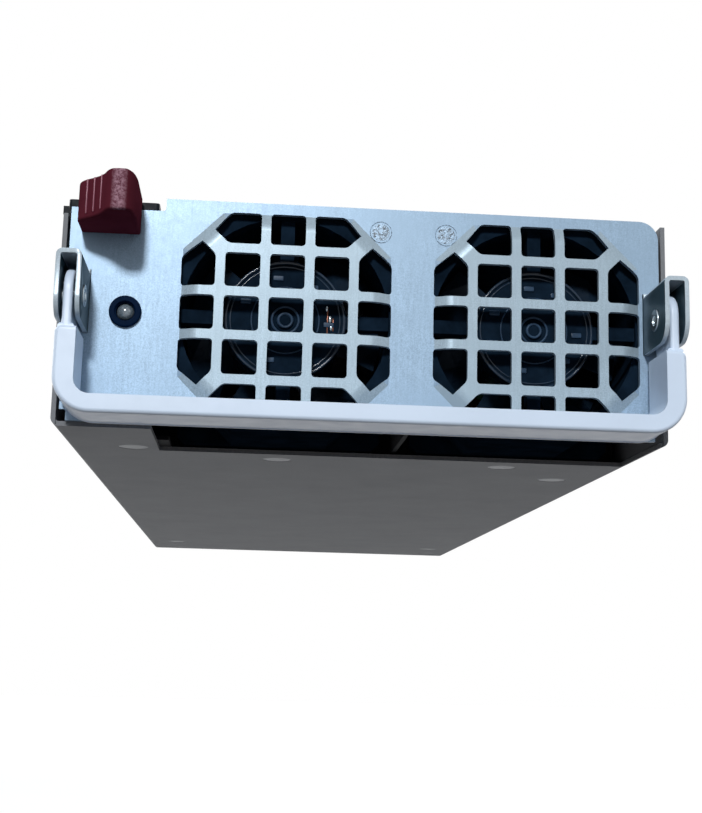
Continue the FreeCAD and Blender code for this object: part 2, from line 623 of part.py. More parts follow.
def top_cover():
    """Flat lid with two lips inside the side walls, cut back over the latch."""
    body = new_body("top_cover")
    lip_x = "(body_width / 2 - case_sheet - seam)"
    lip_in = "(body_width / 2 - 2 * case_sheet - seam)"
    lip_z = "body_height - case_sheet - cover_lip"
    add(body, "XZ", FRONT + " + cover_setback", REAR, polygon(
        ("-" + WALL_X, COVER_Z), ("-" + WALL_X, "body_height"), (WALL_X, "body_height"),
        (WALL_X, COVER_Z), (lip_x, COVER_Z), (lip_x, lip_z), (lip_in, lip_z), (lip_in, COVER_Z),
        ("-" + lip_in, COVER_Z), ("-" + lip_in, lip_z), ("-" + lip_x, lip_z), ("-" + lip_x, COVER_Z)))
    cut(body, "XY", "body_height / 2", "body_height + 1", rectangle(
        "-body_width", "-latch_bay_right", FRONT, FRONT + " + latch_bay_depth"))
    cut(body, "YZ", "-body_width", "body_width",
        *[ring(FRONT + " + " + row, SIDE_SCREW_Z, "screw_width") for row in SIDE_SCREW_ROWS])
    keep("top_cover", body)


# Front panel with the two embossed fan grilles

def octagon(middle, half, chamfer):
    """Octagon outline around a fan axis: a square with its corners cut off."""
    near_x = "%s - (%s) + (%s)" % (middle, half, chamfer)
    far_x = "%s + (%s) - (%s)" % (middle, half, chamfer)
    low_z = AXIS_Z + " - (%s)" % half
    high_z = AXIS_Z + " + (%s)" % half
    left = "%s - (%s)" % (middle, half)
    right = "%s + (%s)" % (middle, half)
    return polygon(
        (near_x, low_z), (far_x, low_z), (right, low_z + " + (%s)" % chamfer),
        (right, high_z + " - (%s)" % chamfer), (far_x, high_z), (near_x, high_z),
        (left, high_z + " - (%s)" % chamfer), (left, low_z + " + (%s)" % chamfer))


def cell_prism(corners, radii, front, depth):
    """Prism along Y over a polygon in X and Z; each corner is rounded with a flat."""
    points = []
    count = len(corners)
    for k, (x, z) in enumerate(corners):
        here = FreeCAD.Vector(x, front, z)
        if radii[k] == 0:
            points.append(here)
            continue
        before = FreeCAD.Vector(corners[k - 1][0], front, corners[k - 1][1]) - here
        after = FreeCAD.Vector(corners[(k + 1) % count][0], front, corners[(k + 1) % count][1]) - here
        before.normalize()
        after.normalize()
        reach = radii[k] * 0.7 / math.tan(before.getAngle(after) / 2)
        points.extend([here + before * reach, here + after * reach])
    return Part.Face(Part.makePolygon(points + points[:1])).extrude(FreeCAD.Vector(0, depth, 0))


def grille_openings():
    """All holes of both grilles: square cells, pointed ones beside the four missing corners."""
    pitch = VALUE["cell_pitch"]
    half = VALUE["cell_hole"] / 2
    reach = VALUE["grille_reach"]
    corner = VALUE["cell_corner"]
    front = -VALUE["body_length"] / 2 - VALUE["emboss_height"] - 1
    depth = VALUE["emboss_height"] + VALUE["panel_sheet"] + 2
    axis_z = VALUE["body_height"] / 2
    inner = 2 * pitch - half
    square = [(-half, -half), (half, -half), (half, half), (-half, half)]
    edge_cell = [(-half, inner), (half, inner), (half, reach), (-half, reach)]
    tip = (-VALUE["tip_rise"], VALUE["tip_reach"])
    pointed = [(-pitch + half, inner), (-pitch + half, reach), (-VALUE["tip_shoulder"], reach),
               tip, (tip[0] + tip[1] - inner, inner)]
    pointed_radii = [corner, corner, corner, 0, corner]
    cells = []
    for fan in (-0.5, 0.5):
        middle = VALUE["fan_offset"] + fan * VALUE["fan_spacing"]
        shapes = []
        for column in (-1, 0, 1):
            for line in (-1, 0, 1):
                moved = [(x + column * pitch, z + line * pitch) for x, z in square]
                shapes.append((moved, [corner] * 4))
        for turn in range(4):
            angle = math.radians(90 * turn)
            cosine = round(math.cos(angle))
            sine = round(math.sin(angle))
            for outline, radii in ((edge_cell, [corner] * 4), (pointed, pointed_radii),
                                   ([(-x, z) for x, z in pointed], pointed_radii)):
                turned = [(x * cosine - z * sine, x * sine + z * cosine) for x, z in outline]
                shapes.append((turned, radii))
        for outline, radii in shapes:
            moved = [(middle + x, axis_z + z) for x, z in outline]
            cells.append(cell_prism(moved, radii, front, depth))
    openings = doc.addObject("Part::Feature", "grille_openings")
    openings.Shape = Part.makeCompound(cells)
    return openings


def front_panel():
    """Front plate with folded edges, a latch notch and two raised octagonal grilles."""
    body = new_body("panel_plate")
    side = PANEL_X + " - foot_notch_width"
    foot = "panel_foot_gap + foot_notch_height"
    add(body, "XZ", FRONT, PANEL_BACK, polygon(
        ("-" + PANEL_X, foot), ("-(%s)" % side, foot), ("-(%s)" % side, "panel_foot_gap"),
        (side, "panel_foot_gap"), (side, foot), (PANEL_X, foot), (PANEL_X, PANEL_TOP),
        ("-panel_width / 2 + notch_width", PANEL_TOP), ("-panel_width / 2 + notch_width", NOTCH_Z),
        ("-" + PANEL_X, NOTCH_Z)))
    corner_x = VALUE["panel_width"] / 2
    corner_z = VALUE["body_height"] - VALUE["panel_top_gap"]
    round_edges(body, "panel_corner", lambda edge: along(edge, Y_AXIS)
                and near(edge.CenterOfMass.x, corner_x) and near(edge.CenterOfMass.z, corner_z))
    deep = FRONT + " + panel_flange"
    add(body, "XZ", FRONT, deep, rectangle(
        "-panel_width / 2 + notch_width + latch_travel", "panel_width / 2 - panel_corner",
        "body_height - panel_top_gap - panel_sheet", PANEL_TOP))
    add(body, "XZ", FRONT, deep, rectangle(
        "panel_width / 2 - panel_sheet", PANEL_X, "flange_foot", "body_height - panel_top_gap - panel_corner"))
    add(body, "XZ", FRONT, deep, rectangle(
        "-" + PANEL_X, "-panel_width / 2 + panel_sheet", "flange_foot", LATCH_EAR_Z + " - panel_gap"))
    front_y = -VALUE["body_length"] / 2
    round_edges(body, "panel_bend", lambda edge: near(edge.CenterOfMass.y, front_y) and (
        (along(edge, X_AXIS) and near(edge.CenterOfMass.z, corner_z))
        or (along(edge, Z_AXIS) and near(abs(edge.CenterOfMass.x), corner_x))
        or (edge.Curve.TypeId == "Part::GeomCircle" and edge.CenterOfMass.x > corner_x - VALUE["panel_corner"])))
    wide = "(emboss_half + emboss_band)"
    wide_chamfer = "(emboss_chamfer + emboss_band * (2 - sqrt(2)))"
    for middle in (LEFT_FAN_X, RIGHT_FAN_X):
        loft(body, "XZ", FRONT, FRONT + " - emboss_height",
             octagon(middle, wide, wide_chamfer), octagon(middle, "emboss_half", "emboss_chamfer"))
    for middle in (LEFT_FAN_X, RIGHT_FAN_X):
        loft(body, "XZ", PANEL_BACK, PANEL_BACK + " - emboss_height",
             octagon(middle, wide, wide_chamfer), octagon(middle, "emboss_half", "emboss_chamfer"), True)
    led_z = AXIS_Z + " - led_drop"
    cut(body, "XZ", FRONT + " - 1", PANEL_BACK + " + 1",
        ring("-led_left", led_z, "led_bezel_width - led_body_step", 20))
    spot_z = "body_height - spot_drop"
    spots = [ring("fan_offset + %s * spot_spread" % side, spot_z, "spot_width", 16)
             for side in (-1, 1)]
    cut(body, "XZ", FRONT + " - 1", FRONT + " + spot_depth", *spots)
    tab_low = PIVOT_Z + " - bracket_drop - seam"
    tab_high = PIVOT_Z + " + bracket_rise + seam"
    for side in ("-", "+"):
        cut(body, "XZ", FRONT + " - 1", PANEL_BACK + " + 1", rectangle(
            "handle_offset %s (bracket_inside - seam)" % side,
            "handle_offset %s (bracket_inside + bracket_sheet + seam)" % side, tab_low, tab_high))
    openings = grille_openings()
    keep("front_panel", subtract("front_panel", body, openings))


def rear_panel():
    """Rear plate between the side walls, with folded sides, vent slots and the plug's cut-out."""
    body = new_body("rear_panel")
    edge_x = "(body_width / 2 - case_sheet - seam)"
    top = "(body_height - case_sheet - seam)"
    notch_x = "(body_width / 2 - 2 * case_sheet - 2 * seam)"
    notch_z = "(body_height - case_sheet - cover_lip - seam)"
    low = "case_sheet + seam"
    add(body, "XZ", REAR + " - case_sheet", REAR, polygon(
        ("-" + edge_x, low), (edge_x, low), (edge_x, notch_z), (notch_x, notch_z), (notch_x, top),
        ("-" + notch_x, top), ("-" + notch_x, notch_z), ("-" + edge_x, notch_z)))
    for side in ("-", ""):
        add(body, "XZ", REAR + " - panel_flange", REAR, rectangle(
            side + edge_x, side + "(body_width / 2 - 2 * case_sheet - seam)",
            "case_sheet + seam + 2", top + " - cover_lip - 1"))
    cut(body, "XZ", REAR + " - case_sheet - 1", REAR + " + 1", rectangle(
        "plug_offset - plug_width / 2 - plug_gap", "plug_offset + plug_width / 2 + plug_gap",
        BOARD_TOP + " - plug_gap", BOARD_TOP + " + plug_height + plug_gap"))
    slots = []
    for k in range(-7, 8):
        middle = "%d * vent_pitch" % k
        slots.append(rectangle(middle + " - vent_width / 2", middle + " + vent_width / 2",
                               BOARD_TOP + " + plug_height + vent_margin", "body_height - vent_margin"))
    for k in range(-7, -4):
        middle = "%d * vent_pitch" % k
        slots.append(rectangle(middle + " - vent_width / 2", middle + " + vent_width / 2",
                               "vent_foot", BOARD_TOP + " + plug_height"))
    cut(body, "XZ", REAR + " - case_sheet - 1", REAR + " + 1", *slots)
    keep("rear_panel", body)


# Fan carriers

def fan_bracket():
    """Cross wall behind the fans with two round openings and a foot on the tray."""
    body = new_body("fan_bracket")
    near_y = FAN_REAR + " + seam"
    far_y = FAN_REAR + " + seam + case_sheet"
    side = "(body_width / 2 - 2 * case_sheet - 3 * seam)"
    add(body, "XZ", near_y, far_y, rectangle(
        "-" + side, side, "case_sheet", "body_height - case_sheet - 2 * seam"))
    add(body, "XY", "case_sheet", "2 * case_sheet", rectangle(
        "-" + side + " + foot_inset", side + " - foot_inset",
        near_y, FAN_REAR + " + foot_depth"))
    add(body, "XY", "case_sheet", "2 * case_sheet", rectangle(
        "-" + side + " + foot_inset", "fan_offset - fan_spacing / 2 - fan_size / 2 - 1",
        FRONT + " + side_screw_depth - 5", near_y + " + 1"))
    bores = [ring(x, AXIS_Z, "fan_bore", 40) for x in (LEFT_FAN_X, RIGHT_FAN_X)]
    cut(body, "XZ", FAN_REAR, far_y + " + 1", *bores)
    cut(body, "XZ", FAN_REAR, far_y + " + 1",
        *[ring(x, z, "fan_hole") for x, z in fan_screw_places(LEFT_FAN_X) + fan_screw_places(RIGHT_FAN_X)])
    cut(body, "XY", "0", "2 * case_sheet + 1", *[ring(x, y, "screw_width") for x, y in BOTTOM_SCREWS])
    keep("fan_bracket", body)


def fan_divider():
    """Web between the fans with two ears clinched to the back of the panel."""
    body = new_body("fan_divider")
    low = "case_sheet + 0.5"
    high = "body_height - panel_top_gap - panel_sheet - 0.3"
    ear = "body_height - spot_drop - spot_width / 2 - 0.5"
    add(body, "XZ", PANEL_BACK, FAN_REAR, rectangle(
        "fan_offset - case_sheet / 2", "fan_offset + case_sheet / 2", low, high))
    add(body, "XZ", PANEL_BACK, PANEL_BACK + " + case_sheet", rectangle(
        "fan_offset - spot_spread - spot_width / 2", "fan_offset + spot_spread + spot_width / 2",
        ear, high))
    keep("fan_divider", body)


# Fans: the motor plate and its struts face the grille, the rotor turns behind them

def fan_frame(label, middle):
    body = new_body(label)
    add(body, "XZ", "0", "fan_depth", rectangle(
        "-fan_size / 2", "fan_size / 2", "-fan_size / 2", "fan_size / 2"))
    half = VALUE["fan_size"] / 2
    bevel_edges(body, "fan_corner", lambda edge: along(edge, Y_AXIS)
                and near(abs(edge.CenterOfMass.x), half))
    cut(body, "XZ", "-1", "fan_depth + 1", ring("0", "0", "fan_bore", 40))
    for x in ("-", ""):
        for z in ("-", ""):
            cut(body, "XZ", "fan_flange", "fan_depth - fan_flange", polygon(
                (x + "fan_size / 2", z + "fan_size * fan_waist"), (x + "fan_size / 2", z + "fan_size / 2"),
                (x + "fan_size * fan_waist", z + "fan_size / 2")))
    cut(body, "XZ", "-1", "fan_depth + 1", *[ring(x, z, "fan_hole") for x, z in fan_screw_places("0", "0")])
    plate = ("motor_plate_inset", "motor_plate_inset + motor_plate")
    add(body, "XZ", plate[0], plate[1] + " - 0.2", polygon(
        ("-strut_width / 2", "-fan_bore / 2 - 0.3"), ("strut_width / 2", "-fan_bore / 2 - 0.3"),
        ("strut_width / 2", "fan_bore / 2 + 0.3"), ("-strut_width / 2", "fan_bore / 2 + 0.3")))
    add(body, "XZ", plate[0], plate[1] + " - 0.2", polygon(
        ("-fan_bore / 2 - 0.3", "-strut_width / 2"), ("fan_bore / 2 + 0.3", "-strut_width / 2"),
        ("fan_bore / 2 + 0.3", "strut_width / 2"), ("-fan_bore / 2 - 0.3", "strut_width / 2")))
    add(body, "XZ", plate[0], plate[1], ring("0", "0", "hub_width + 2 * motor_plate_lip", 32))
    cut(body, "XZ", "0", plate[0] + " + label_ring", ring("0", "0", "shaft_width + 2.6"),
        ring("0", "0", "shaft_width + 0.6"))
    cut(body, "XZ", plate[0] + " + shaft_seat", plate[1] + " + 1",
        circle("0", "0", "shaft_width + 2 * shaft_play"))
    place(body, middle, FAN_FRONT, AXIS_Z)
    keep(label, body)


def fan_screw_places(middle, height=AXIS_Z):
    """The two upper corner holes of a fan."""
    return [("%s + %s * fan_hole_pitch" % (middle, x), "%s + %s * fan_hole_pitch" % (height, z))
            for x, z in (("-0.5", "0.5"), ("0.5", "0.5"))]


BLADE_OUTLINE = [(-1.0, 0.0, 0), (-0.4, 0.84, -1), (0.4, 0.84, -1), (1.0, 0.0, 0),
                 (0.4, 0.84, 1), (-0.4, 0.84, 1)]


def blade_section(share, turn):
    """Six corners of a blade's section, from its root (0) to its tip (1), turned about the axis."""
    def between(name):
        low = VALUE["blade_root_" + name]
        return low + share * (VALUE["blade_tip_" + name] - low)
    angle = math.radians(between("turn"))
    middle = VALUE["motor_plate_inset"] + VALUE["motor_plate"] + VALUE["rotor_gap"]
    middle = middle + VALUE["hub_length"] / 2
    root = VALUE["hub_width"] / 2 - VALUE["blade_root_depth"]
    tip = VALUE["fan_bore"] / 2 - VALUE["blade_gap"]
    corners = []
    for reach, bow, side in BLADE_OUTLINE:
        ahead = reach * between("chord") / 2
        rise = bow * VALUE["blade_camber"] + side * VALUE["blade_thickness"] / 2
        y = middle + ahead * math.cos(angle) - rise * math.sin(angle)
        z = ahead * math.sin(angle) + rise * math.cos(angle)
        x = root + share * (tip - root)
        if share == 1:
            x = math.sqrt(tip ** 2 - z ** 2)
        corners.append(FreeCAD.Vector(x * math.cos(turn) + z * math.sin(turn), y,
                                      z * math.cos(turn) - x * math.sin(turn)))
    return corners


def fan_blade(turn):
    """Twisted blade as a closed skin of flat triangles; the tip's corners lie on a cylinder."""
    sections = [blade_section(share, turn) for share in (0, 0.5, 1)]
    count = len(BLADE_OUTLINE)
    triangles = []
    for low, high in zip(sections, sections[1:]):
        for k in range(count):
            after = (k + 1) % count
            if k < count / 2:
                triangles.append((low[k], low[after], high[after]))
                triangles.append((low[k], high[after], high[k]))
            else:
                triangles.append((low[k], low[after], high[k]))
                triangles.append((low[after], high[after], high[k]))
    for ends in (sections[0], sections[-1]):
        for a, b, c in ((0, 1, 5), (1, 2, 4), (1, 4, 5), (2, 3, 4)):
            triangles.append((ends[a], ends[b], ends[c]))
    skin = Part.makeShell([Part.Face(Part.makePolygon([a, b, c, a])) for a, b, c in triangles])
    solid = Part.makeSolid(skin)
    if solid.Volume < 0:
        solid.reverse()
    return solid


def fan_rotor(label, middle):
    """Hub with twisted blades on a short shaft."""
    body = new_body(label + "_hub")
    start = "motor_plate_inset + motor_plate + rotor_gap"
    add(body, "XZ", start, start + " + hub_length", ring("0", "0", "hub_width", 32))
    hub_end = (VALUE["motor_plate_inset"] + VALUE["motor_plate"] + VALUE["rotor_gap"]
               + VALUE["hub_length"])
    bevel_edges(body, "hub_bevel", lambda edge: near(edge.CenterOfMass.y, hub_end)
                and edge.BoundBox.YLength < 0.01)
    add(body, "XZ", "motor_plate_inset + 1", start + " + 1", circle("0", "0", "shaft_width"))
    place(body, middle, FAN_FRONT, AXIS_Z)
    blades = []
    count = int(VALUE["blade_count"])
    for k in range(count):
        blade = doc.addObject("Part::Feature", "%s_blade_%d" % (label, k))
        blade.Shape = fan_blade(2 * math.pi * k / count)
        place(blade, middle, FAN_FRONT, AXIS_Z)
        blades.append(blade)
    keep(label, fuse(label, [body] + blades))


def fan_screws(label, middle):
    """Pan head screws through the fan bracket into one fan."""
    screws = []
    for k, (x, z) in enumerate(fan_screw_places(middle)):
        shank = peg("%s_shank_%d" % (label, k), "Y", "fan_hole - 0.4", FAN_REAR + " - fan_screw_reach",
                    FAN_REAR + " + 2 * case_sheet", x=x, z=z)
        head = peg("%s_head_%d" % (label, k), "Y", "screw_head - 0.4",
                   FAN_REAR + " + seam + case_sheet", FAN_REAR + " + seam + case_sheet + fan_screw_head", x=x, z=z)
        screws.append(fuse("%s_%d" % (label, k), [shank, head]))
    keep(label, group(label, screws))


# Handle: a bail in two folded brackets

def handle_bracket():
    """Folded sheet closed at the top; its inner cheek goes through the panel to a welded flange."""
    body = new_body("right_handle_bracket")
    low = PIVOT_Z + " - bracket_drop"
    high = PIVOT_Z + " + bracket_rise"
    outside = BRACKET_OUT
    add(body, "XZ", FRONT + " - bracket_reach", FRONT, rectangle("bracket_inside", outside, low, high))
    add(body, "XZ", FRONT, PANEL_BACK + " + bracket_sheet",
        rectangle("bracket_inside", "bracket_inside + bracket_sheet", low, high))
    add(body, "XZ", PANEL_BACK, PANEL_BACK + " + bracket_sheet",
        rectangle("bracket_inside", "bracket_inside + bracket_sheet + bracket_flange", low, high))
    top = VALUE["body_height"] / 2 + VALUE["pivot_rise"] + VALUE["bracket_rise"]
    mid_y = -VALUE["body_length"] / 2 - VALUE["bracket_reach"] / 2
    round_edges(body, "bracket_bend", lambda edge: along(edge, Y_AXIS)
                and near(edge.CenterOfMass.z, top) and near(edge.CenterOfMass.y, mid_y))
    cut(body, "XZ", FRONT + " - bracket_reach - 1", FRONT, rectangle(
        "bracket_inside + bracket_sheet", outside + " - bracket_sheet", low + " - 1",
        high + " - bracket_sheet"))
    tip_y = -VALUE["body_length"] / 2 - VALUE["bracket_reach"]
    foot = VALUE["body_height"] / 2 + VALUE["pivot_rise"] - VALUE["bracket_drop"]
    round_edges(body, "bracket_round", lambda edge: along(edge, X_AXIS)
                and near(edge.CenterOfMass.z, foot) and near(edge.CenterOfMass.y, tip_y))
    cut(body, "YZ", "bracket_inside - 1", outside + " + 1", circle(PIVOT_Y, PIVOT_Z, "pivot_width"))
    place(body, "handle_offset")
    keep("right_handle_bracket", body)
    keep("left_handle_bracket", mirrored("left_handle_bracket", body, "handle_offset"))


def pivot_rivet():
    """Semi-tubular rivet: a domed head outside, a rolled ring inside."""
    body = new_body("right_pivot_rivet")
    inside = "bracket_inside"
    outside = BRACKET_OUT
    add(body, "YZ", inside + " - rivet_roll", outside + " + rivet_head_depth",
        circle(PIVOT_Y, PIVOT_Z, "pivot_width"))
    add(body, "YZ", outside, outside + " + rivet_head_depth",
        ring(PIVOT_Y, PIVOT_Z, "rivet_head", 20))
    add(body, "YZ", inside + " - rivet_roll", inside,
        ring(PIVOT_Y, PIVOT_Z, "rivet_roll_width", 20))
    cut(body, "YZ", inside + " - rivet_roll - 1", inside + " + rivet_bore_depth",
        ring(PIVOT_Y, PIVOT_Z, "rivet_bore"))
    place(body, "handle_offset")
    keep("right_pivot_rivet", body)
    keep("left_pivot_rivet", mirrored("left_pivot_rivet", body, "handle_offset"))


def bail_handle():
    """U-shaped bail: flat bar and arms, thinned to round tongues in the brackets."""
    body = new_body("bail_handle")
    front = PIVOT_Y + " - bail_depth / 2"
    back = PIVOT_Y + " + bail_depth / 2"
    low = "bail_foot_gap"
    shoulder = PIVOT_Z + " - bail_shoulder"
    out_x = "bail_width / 2"
    in_x = "(bail_width / 2 - bail_arm)"
    add(body, "XZ", front, back, polygon(
        ("-" + out_x, low), (out_x, low), (out_x, shoulder), (in_x, shoulder),
        (in_x, low + " + bail_bar"), ("-" + in_x, low + " + bail_bar"), ("-" + in_x, shoulder),
        ("-" + out_x, shoulder)))
    half = VALUE["bail_width"] / 2
    inner = half - VALUE["bail_arm"]
    bar_top = VALUE["bail_foot_gap"] + VALUE["bail_bar"]
    round_edges(body, "bail_outer_round", lambda edge: along(edge, Y_AXIS)
                and near(abs(edge.CenterOfMass.x), half)
                and near(edge.CenterOfMass.z, VALUE["bail_foot_gap"]))
    round_edges(body, "bail_outer_round - bail_arm", lambda edge: along(edge, Y_AXIS)
                and near(abs(edge.CenterOfMass.x), inner) and near(edge.CenterOfMass.z, bar_top))
    front_y = -VALUE["body_length"] / 2 - VALUE["pivot_reach"] - VALUE["bail_depth"] / 2
    top_z = VALUE["body_height"] / 2 + VALUE["pivot_rise"] - VALUE["bail_shoulder"]
    bevel_edges(body, "bail_edge", lambda edge: near(edge.CenterOfMass.y, front_y)
                and edge.BoundBox.YLength < 0.01 and edge.CenterOfMass.z < top_z - 0.01)
    slot_middle = "(bracket_inside + bracket_width / 2)"
    low_x = slot_middle + " - bail_tongue / 2"
    high_x = slot_middle + " + bail_tongue / 2"
    for x0, x1 in ((low_x, high_x), ("-(%s)" % high_x, "-(%s)" % low_x)):
        add(body, "YZ", x0, x1, rectangle(
            PIVOT_Y + " - bail_tongue_depth / 2", PIVOT_Y + " + bail_tongue_depth / 2",
            shoulder + " - 1", PIVOT_Z))
        add(body, "YZ", x0, x1, circle(PIVOT_Y, PIVOT_Z, "bail_tongue_depth"))
    cut(body, "YZ", "-body_width", "body_width",
        circle(PIVOT_Y, PIVOT_Z, "pivot_width + 2 * pivot_play"))
    place(body, "handle_offset")
    keep("bail_handle", body)


# Latch: a thumb cap on a spring loaded steel plate that slides behind the panel

STUDS = [("-lock_right - stud_first", PANEL_BACK + " + stud_row"),
         ("-lock_right - stud_second", PANEL_BACK + " + stud_row")]
TONGUE = ("-cap_left + tongue_inset", "-cap_left + cap_width - tongue_inset")
SPRING_Y = PANEL_BACK + " + lock_depth + spring_width / 2 + 0.5"


def latch_plate():
    """Steel plate with the lock tooth, a tongue into the cap and a hook for the spring."""
    body = new_body("latch_plate")
    left = "-body_width / 2 + lock_side_gap"
    tooth = "-body_width / 2 - tooth_reach"
    near_y = PANEL_BACK + " + lock_face_gap"
    far_y = PANEL_BACK + " + lock_depth"
    tooth_y = PANEL_BACK + " + tooth_start"
    hook = "-lock_right - spring_length - spring_seat"
    hook_y = far_y + " + hook_depth"
    add(body, "XY", LOCK_Z, LOCK_Z + " + lock_thickness", polygon(
        (left, near_y), (TONGUE[0], near_y), (TONGUE[0], FRONT + " - cap_heel + 1"),
        (TONGUE[1], FRONT + " - cap_heel + 1"), (TONGUE[1], near_y), ("-lock_right", near_y),
        ("-lock_right", far_y), (hook, far_y), (hook, hook_y), (hook + " - hook_width", hook_y),
        (hook + " - hook_width", far_y), (left, far_y), (left, tooth_y + " + tooth_length + tooth_lead"),
        (tooth, tooth_y + " + tooth_length"), (tooth, tooth_y), (left, tooth_y)))
    slots = []
    for x, y in STUDS:
        slots.append(rectangle(
            x + " - latch_travel - stud_width / 2 - stud_play", x + " + stud_width / 2 + stud_play",
            y + " - stud_width / 2 - stud_play", y + " + stud_width / 2 + stud_play"))
    cut(body, "XY", LOCK_Z + " - 1", "body_height + 1", *slots)
    keep("latch_plate", body)


def latch_bracket():
    """Shelf behind the panel that carries the plate, with the spring's end lug."""
    body = new_body("latch_bracket")
    top = LOCK_Z + " - seam"
    left = "-panel_width / 2 + panel_sheet + shelf_gap"
    right = "-lock_right + shelf_right"
    far_y = PANEL_BACK + " + lock_depth + shelf_tail"
    add(body, "XY", top + " - case_sheet", top, rectangle(left, right, PANEL_BACK, far_y))
    add(body, "XZ", PANEL_BACK, PANEL_BACK + " + case_sheet", rectangle(left, right, LATCH_EAR_Z, top))
    add(body, "YZ", "-lock_right - 0.8", "-lock_right + 0.2", rectangle(
        PANEL_BACK + " + lock_depth + 0.3", far_y, top + " - case_sheet", "body_height - 0.3"))
    cut(body, "XY", top + " - case_sheet - 1", top + " + 0.5",
        *[ring(x, y, "stud_width - 0.6") for x, y in STUDS])
    keep("latch_bracket", body)


def latch_studs():
    """Two headed studs that guide the plate by its slots."""
    studs = []
    top = LOCK_Z + " - seam"
    for k, (x, y) in enumerate(STUDS):
        foot = peg("stud_foot_%d" % k, "Z", "stud_width - 0.6", top + " - case_sheet", top, x=x, y=y)
        shank = peg("stud_shank_%d" % k, "Z", "stud_width", top,
                    LOCK_Z + " + lock_thickness + seam", x=x, y=y)
        head = peg("stud_head_%d" % k, "Z", "stud_width + 1.6", LOCK_Z + " + lock_thickness + seam",
                   "body_height - 0.1", x=x, y=y)
        studs.append(fuse("stud_%d" % k, [foot, shank, head]))
    keep("latch_studs", group("latch_studs", studs))


def latch_spring():
    """Folded spring strip between the plate's hook and the shelf's lug."""
    body = new_body("latch_spring")
    turns = int(VALUE["spring_turns"])
    start = "-lock_right - 0.8 - spring_length + 0.05"
    near_side = []
    far_side = []
    for k in range(turns + 1):
        x = "%s + %d * (spring_length - 0.1) / %d" % (start, k, turns)
        y = SPRING_Y + (" - spring_width / 2" if k % 2 else " + spring_width / 2")
        near_side.append((x, y + " - spring_strip / 2"))
        far_side.append((x, y + " + spring_strip / 2"))
    add(body, "XY", LOCK_Z, LOCK_Z + " + lock_thickness", polygon(*(near_side + far_side[::-1])))
    keep("latch_spring", body)


def latch_cap():
    """Moulded thumb cap: a ribbed slope rising to a rounded nose."""
    body = new_body("latch_cap")
    low = "body_height - cap_top_gap - cap_height"
    high = "body_height - cap_top_gap"
    left = "-cap_left"
    right = "-cap_left + cap_width"
    back = FRONT + " - cap_clear"
    heel = FRONT + " - cap_heel"
    nose = FRONT + " - cap_nose"
    add(body, "XY", low, high, polygon(
        (left, back), (left, heel), (left + " + cap_corner", heel + " - cap_step"),
        (left + " + cap_slope_end", nose + " + cap_fall"), (left + " + cap_crest", nose),
        (right + " - 0.7", nose), (right, nose + " + 2"), (right, back)))
    left_x = -VALUE["cap_left"]
    nose_y = -VALUE["body_length"] / 2 - VALUE["cap_nose"]
    round_edges(body, "cap_nose_round", lambda edge: along(edge, Z_AXIS)
                and edge.CenterOfMass.y < nose_y + VALUE["cap_fall"] + 0.2
                and edge.CenterOfMass.x > left_x + VALUE["cap_slope_end"] - 0.3)
    for k in (0.18, 0.47, 0.76):
        x = left + " + cap_corner + %s * (cap_slope_end - cap_corner)" % k
        y = "(%s - cap_step) + %s * ((%s + cap_fall) - (%s - cap_step))" % (heel, k, nose, heel)
        add(body, "XY", low, high, polygon(
            (x + " - 0.35", y + " + 0.6"), (x + " - 0.25", y + " - cap_rib"),
            (x + " + 0.05", y + " - cap_rib - 0.2"), (x + " + 0.5", y + " + 0.4")))
    cut(body, "XZ", FRONT + " - cap_heel + 1 - seam", FRONT, rectangle(
        TONGUE[0], TONGUE[1], LOCK_Z, LOCK_Z + " + lock_thickness"))
    keep("latch_cap", body)


# Indicator

def indicator():
    """Bezel through the panel, lamp inside it, small board behind."""
    led_z = AXIS_Z + " - led_drop"
    bezel = new_body("led_bezel")
    add(bezel, "XZ", FRONT + " - led_bezel_depth", FRONT, ring("-led_left", led_z, "led_bezel_width", 28))
    add(bezel, "XZ", FRONT, PANEL_BACK + " + led_body_reach",
        ring("-led_left", led_z, "led_bezel_width - led_body_step - 2 * seam", 20))
    cut(bezel, "XZ", FRONT + " - led_bezel_depth - 1", PANEL_BACK + " + 4",
        ring("-led_left", led_z, "led_lens_width", 20))
    face_y = -VALUE["body_length"] / 2 - VALUE["led_bezel_depth"]
    middle = FreeCAD.Vector(-VALUE["led_left"], face_y, VALUE["body_height"] / 2 - VALUE["led_drop"])
    bevel_edges(bezel, "led_bevel", lambda edge: near(edge.CenterOfMass.y, face_y)
                and edge.CenterOfMass.distanceToPoint(middle) > 0.45 * VALUE["led_bezel_width"])
    keep("led_bezel", bezel)
    lamp = new_body("led_lamp")
    add(lamp, "XZ", FRONT + " - led_bezel_depth + led_lens_inset", PANEL_BACK + " + led_board_drop",
        ring("-led_left", led_z, "led_lens_width - seam", 20))
    lamp_y = -VALUE["body_length"] / 2 - VALUE["led_bezel_depth"] + VALUE["led_lens_inset"]
    bevel_edges(lamp, "0.5", lambda edge: near(edge.CenterOfMass.y, lamp_y))
    keep("led_lamp", lamp)
    keep("led_board", block(
        "led_board", "-led_left - led_board_half", "-led_left + led_board_half",
        PANEL_BACK + " + led_board_drop", PANEL_BACK + " + led_board_drop + led_board_sheet",
        led_z + " - led_board_half", led_z + " + led_board_half"))


# Fasteners of the case

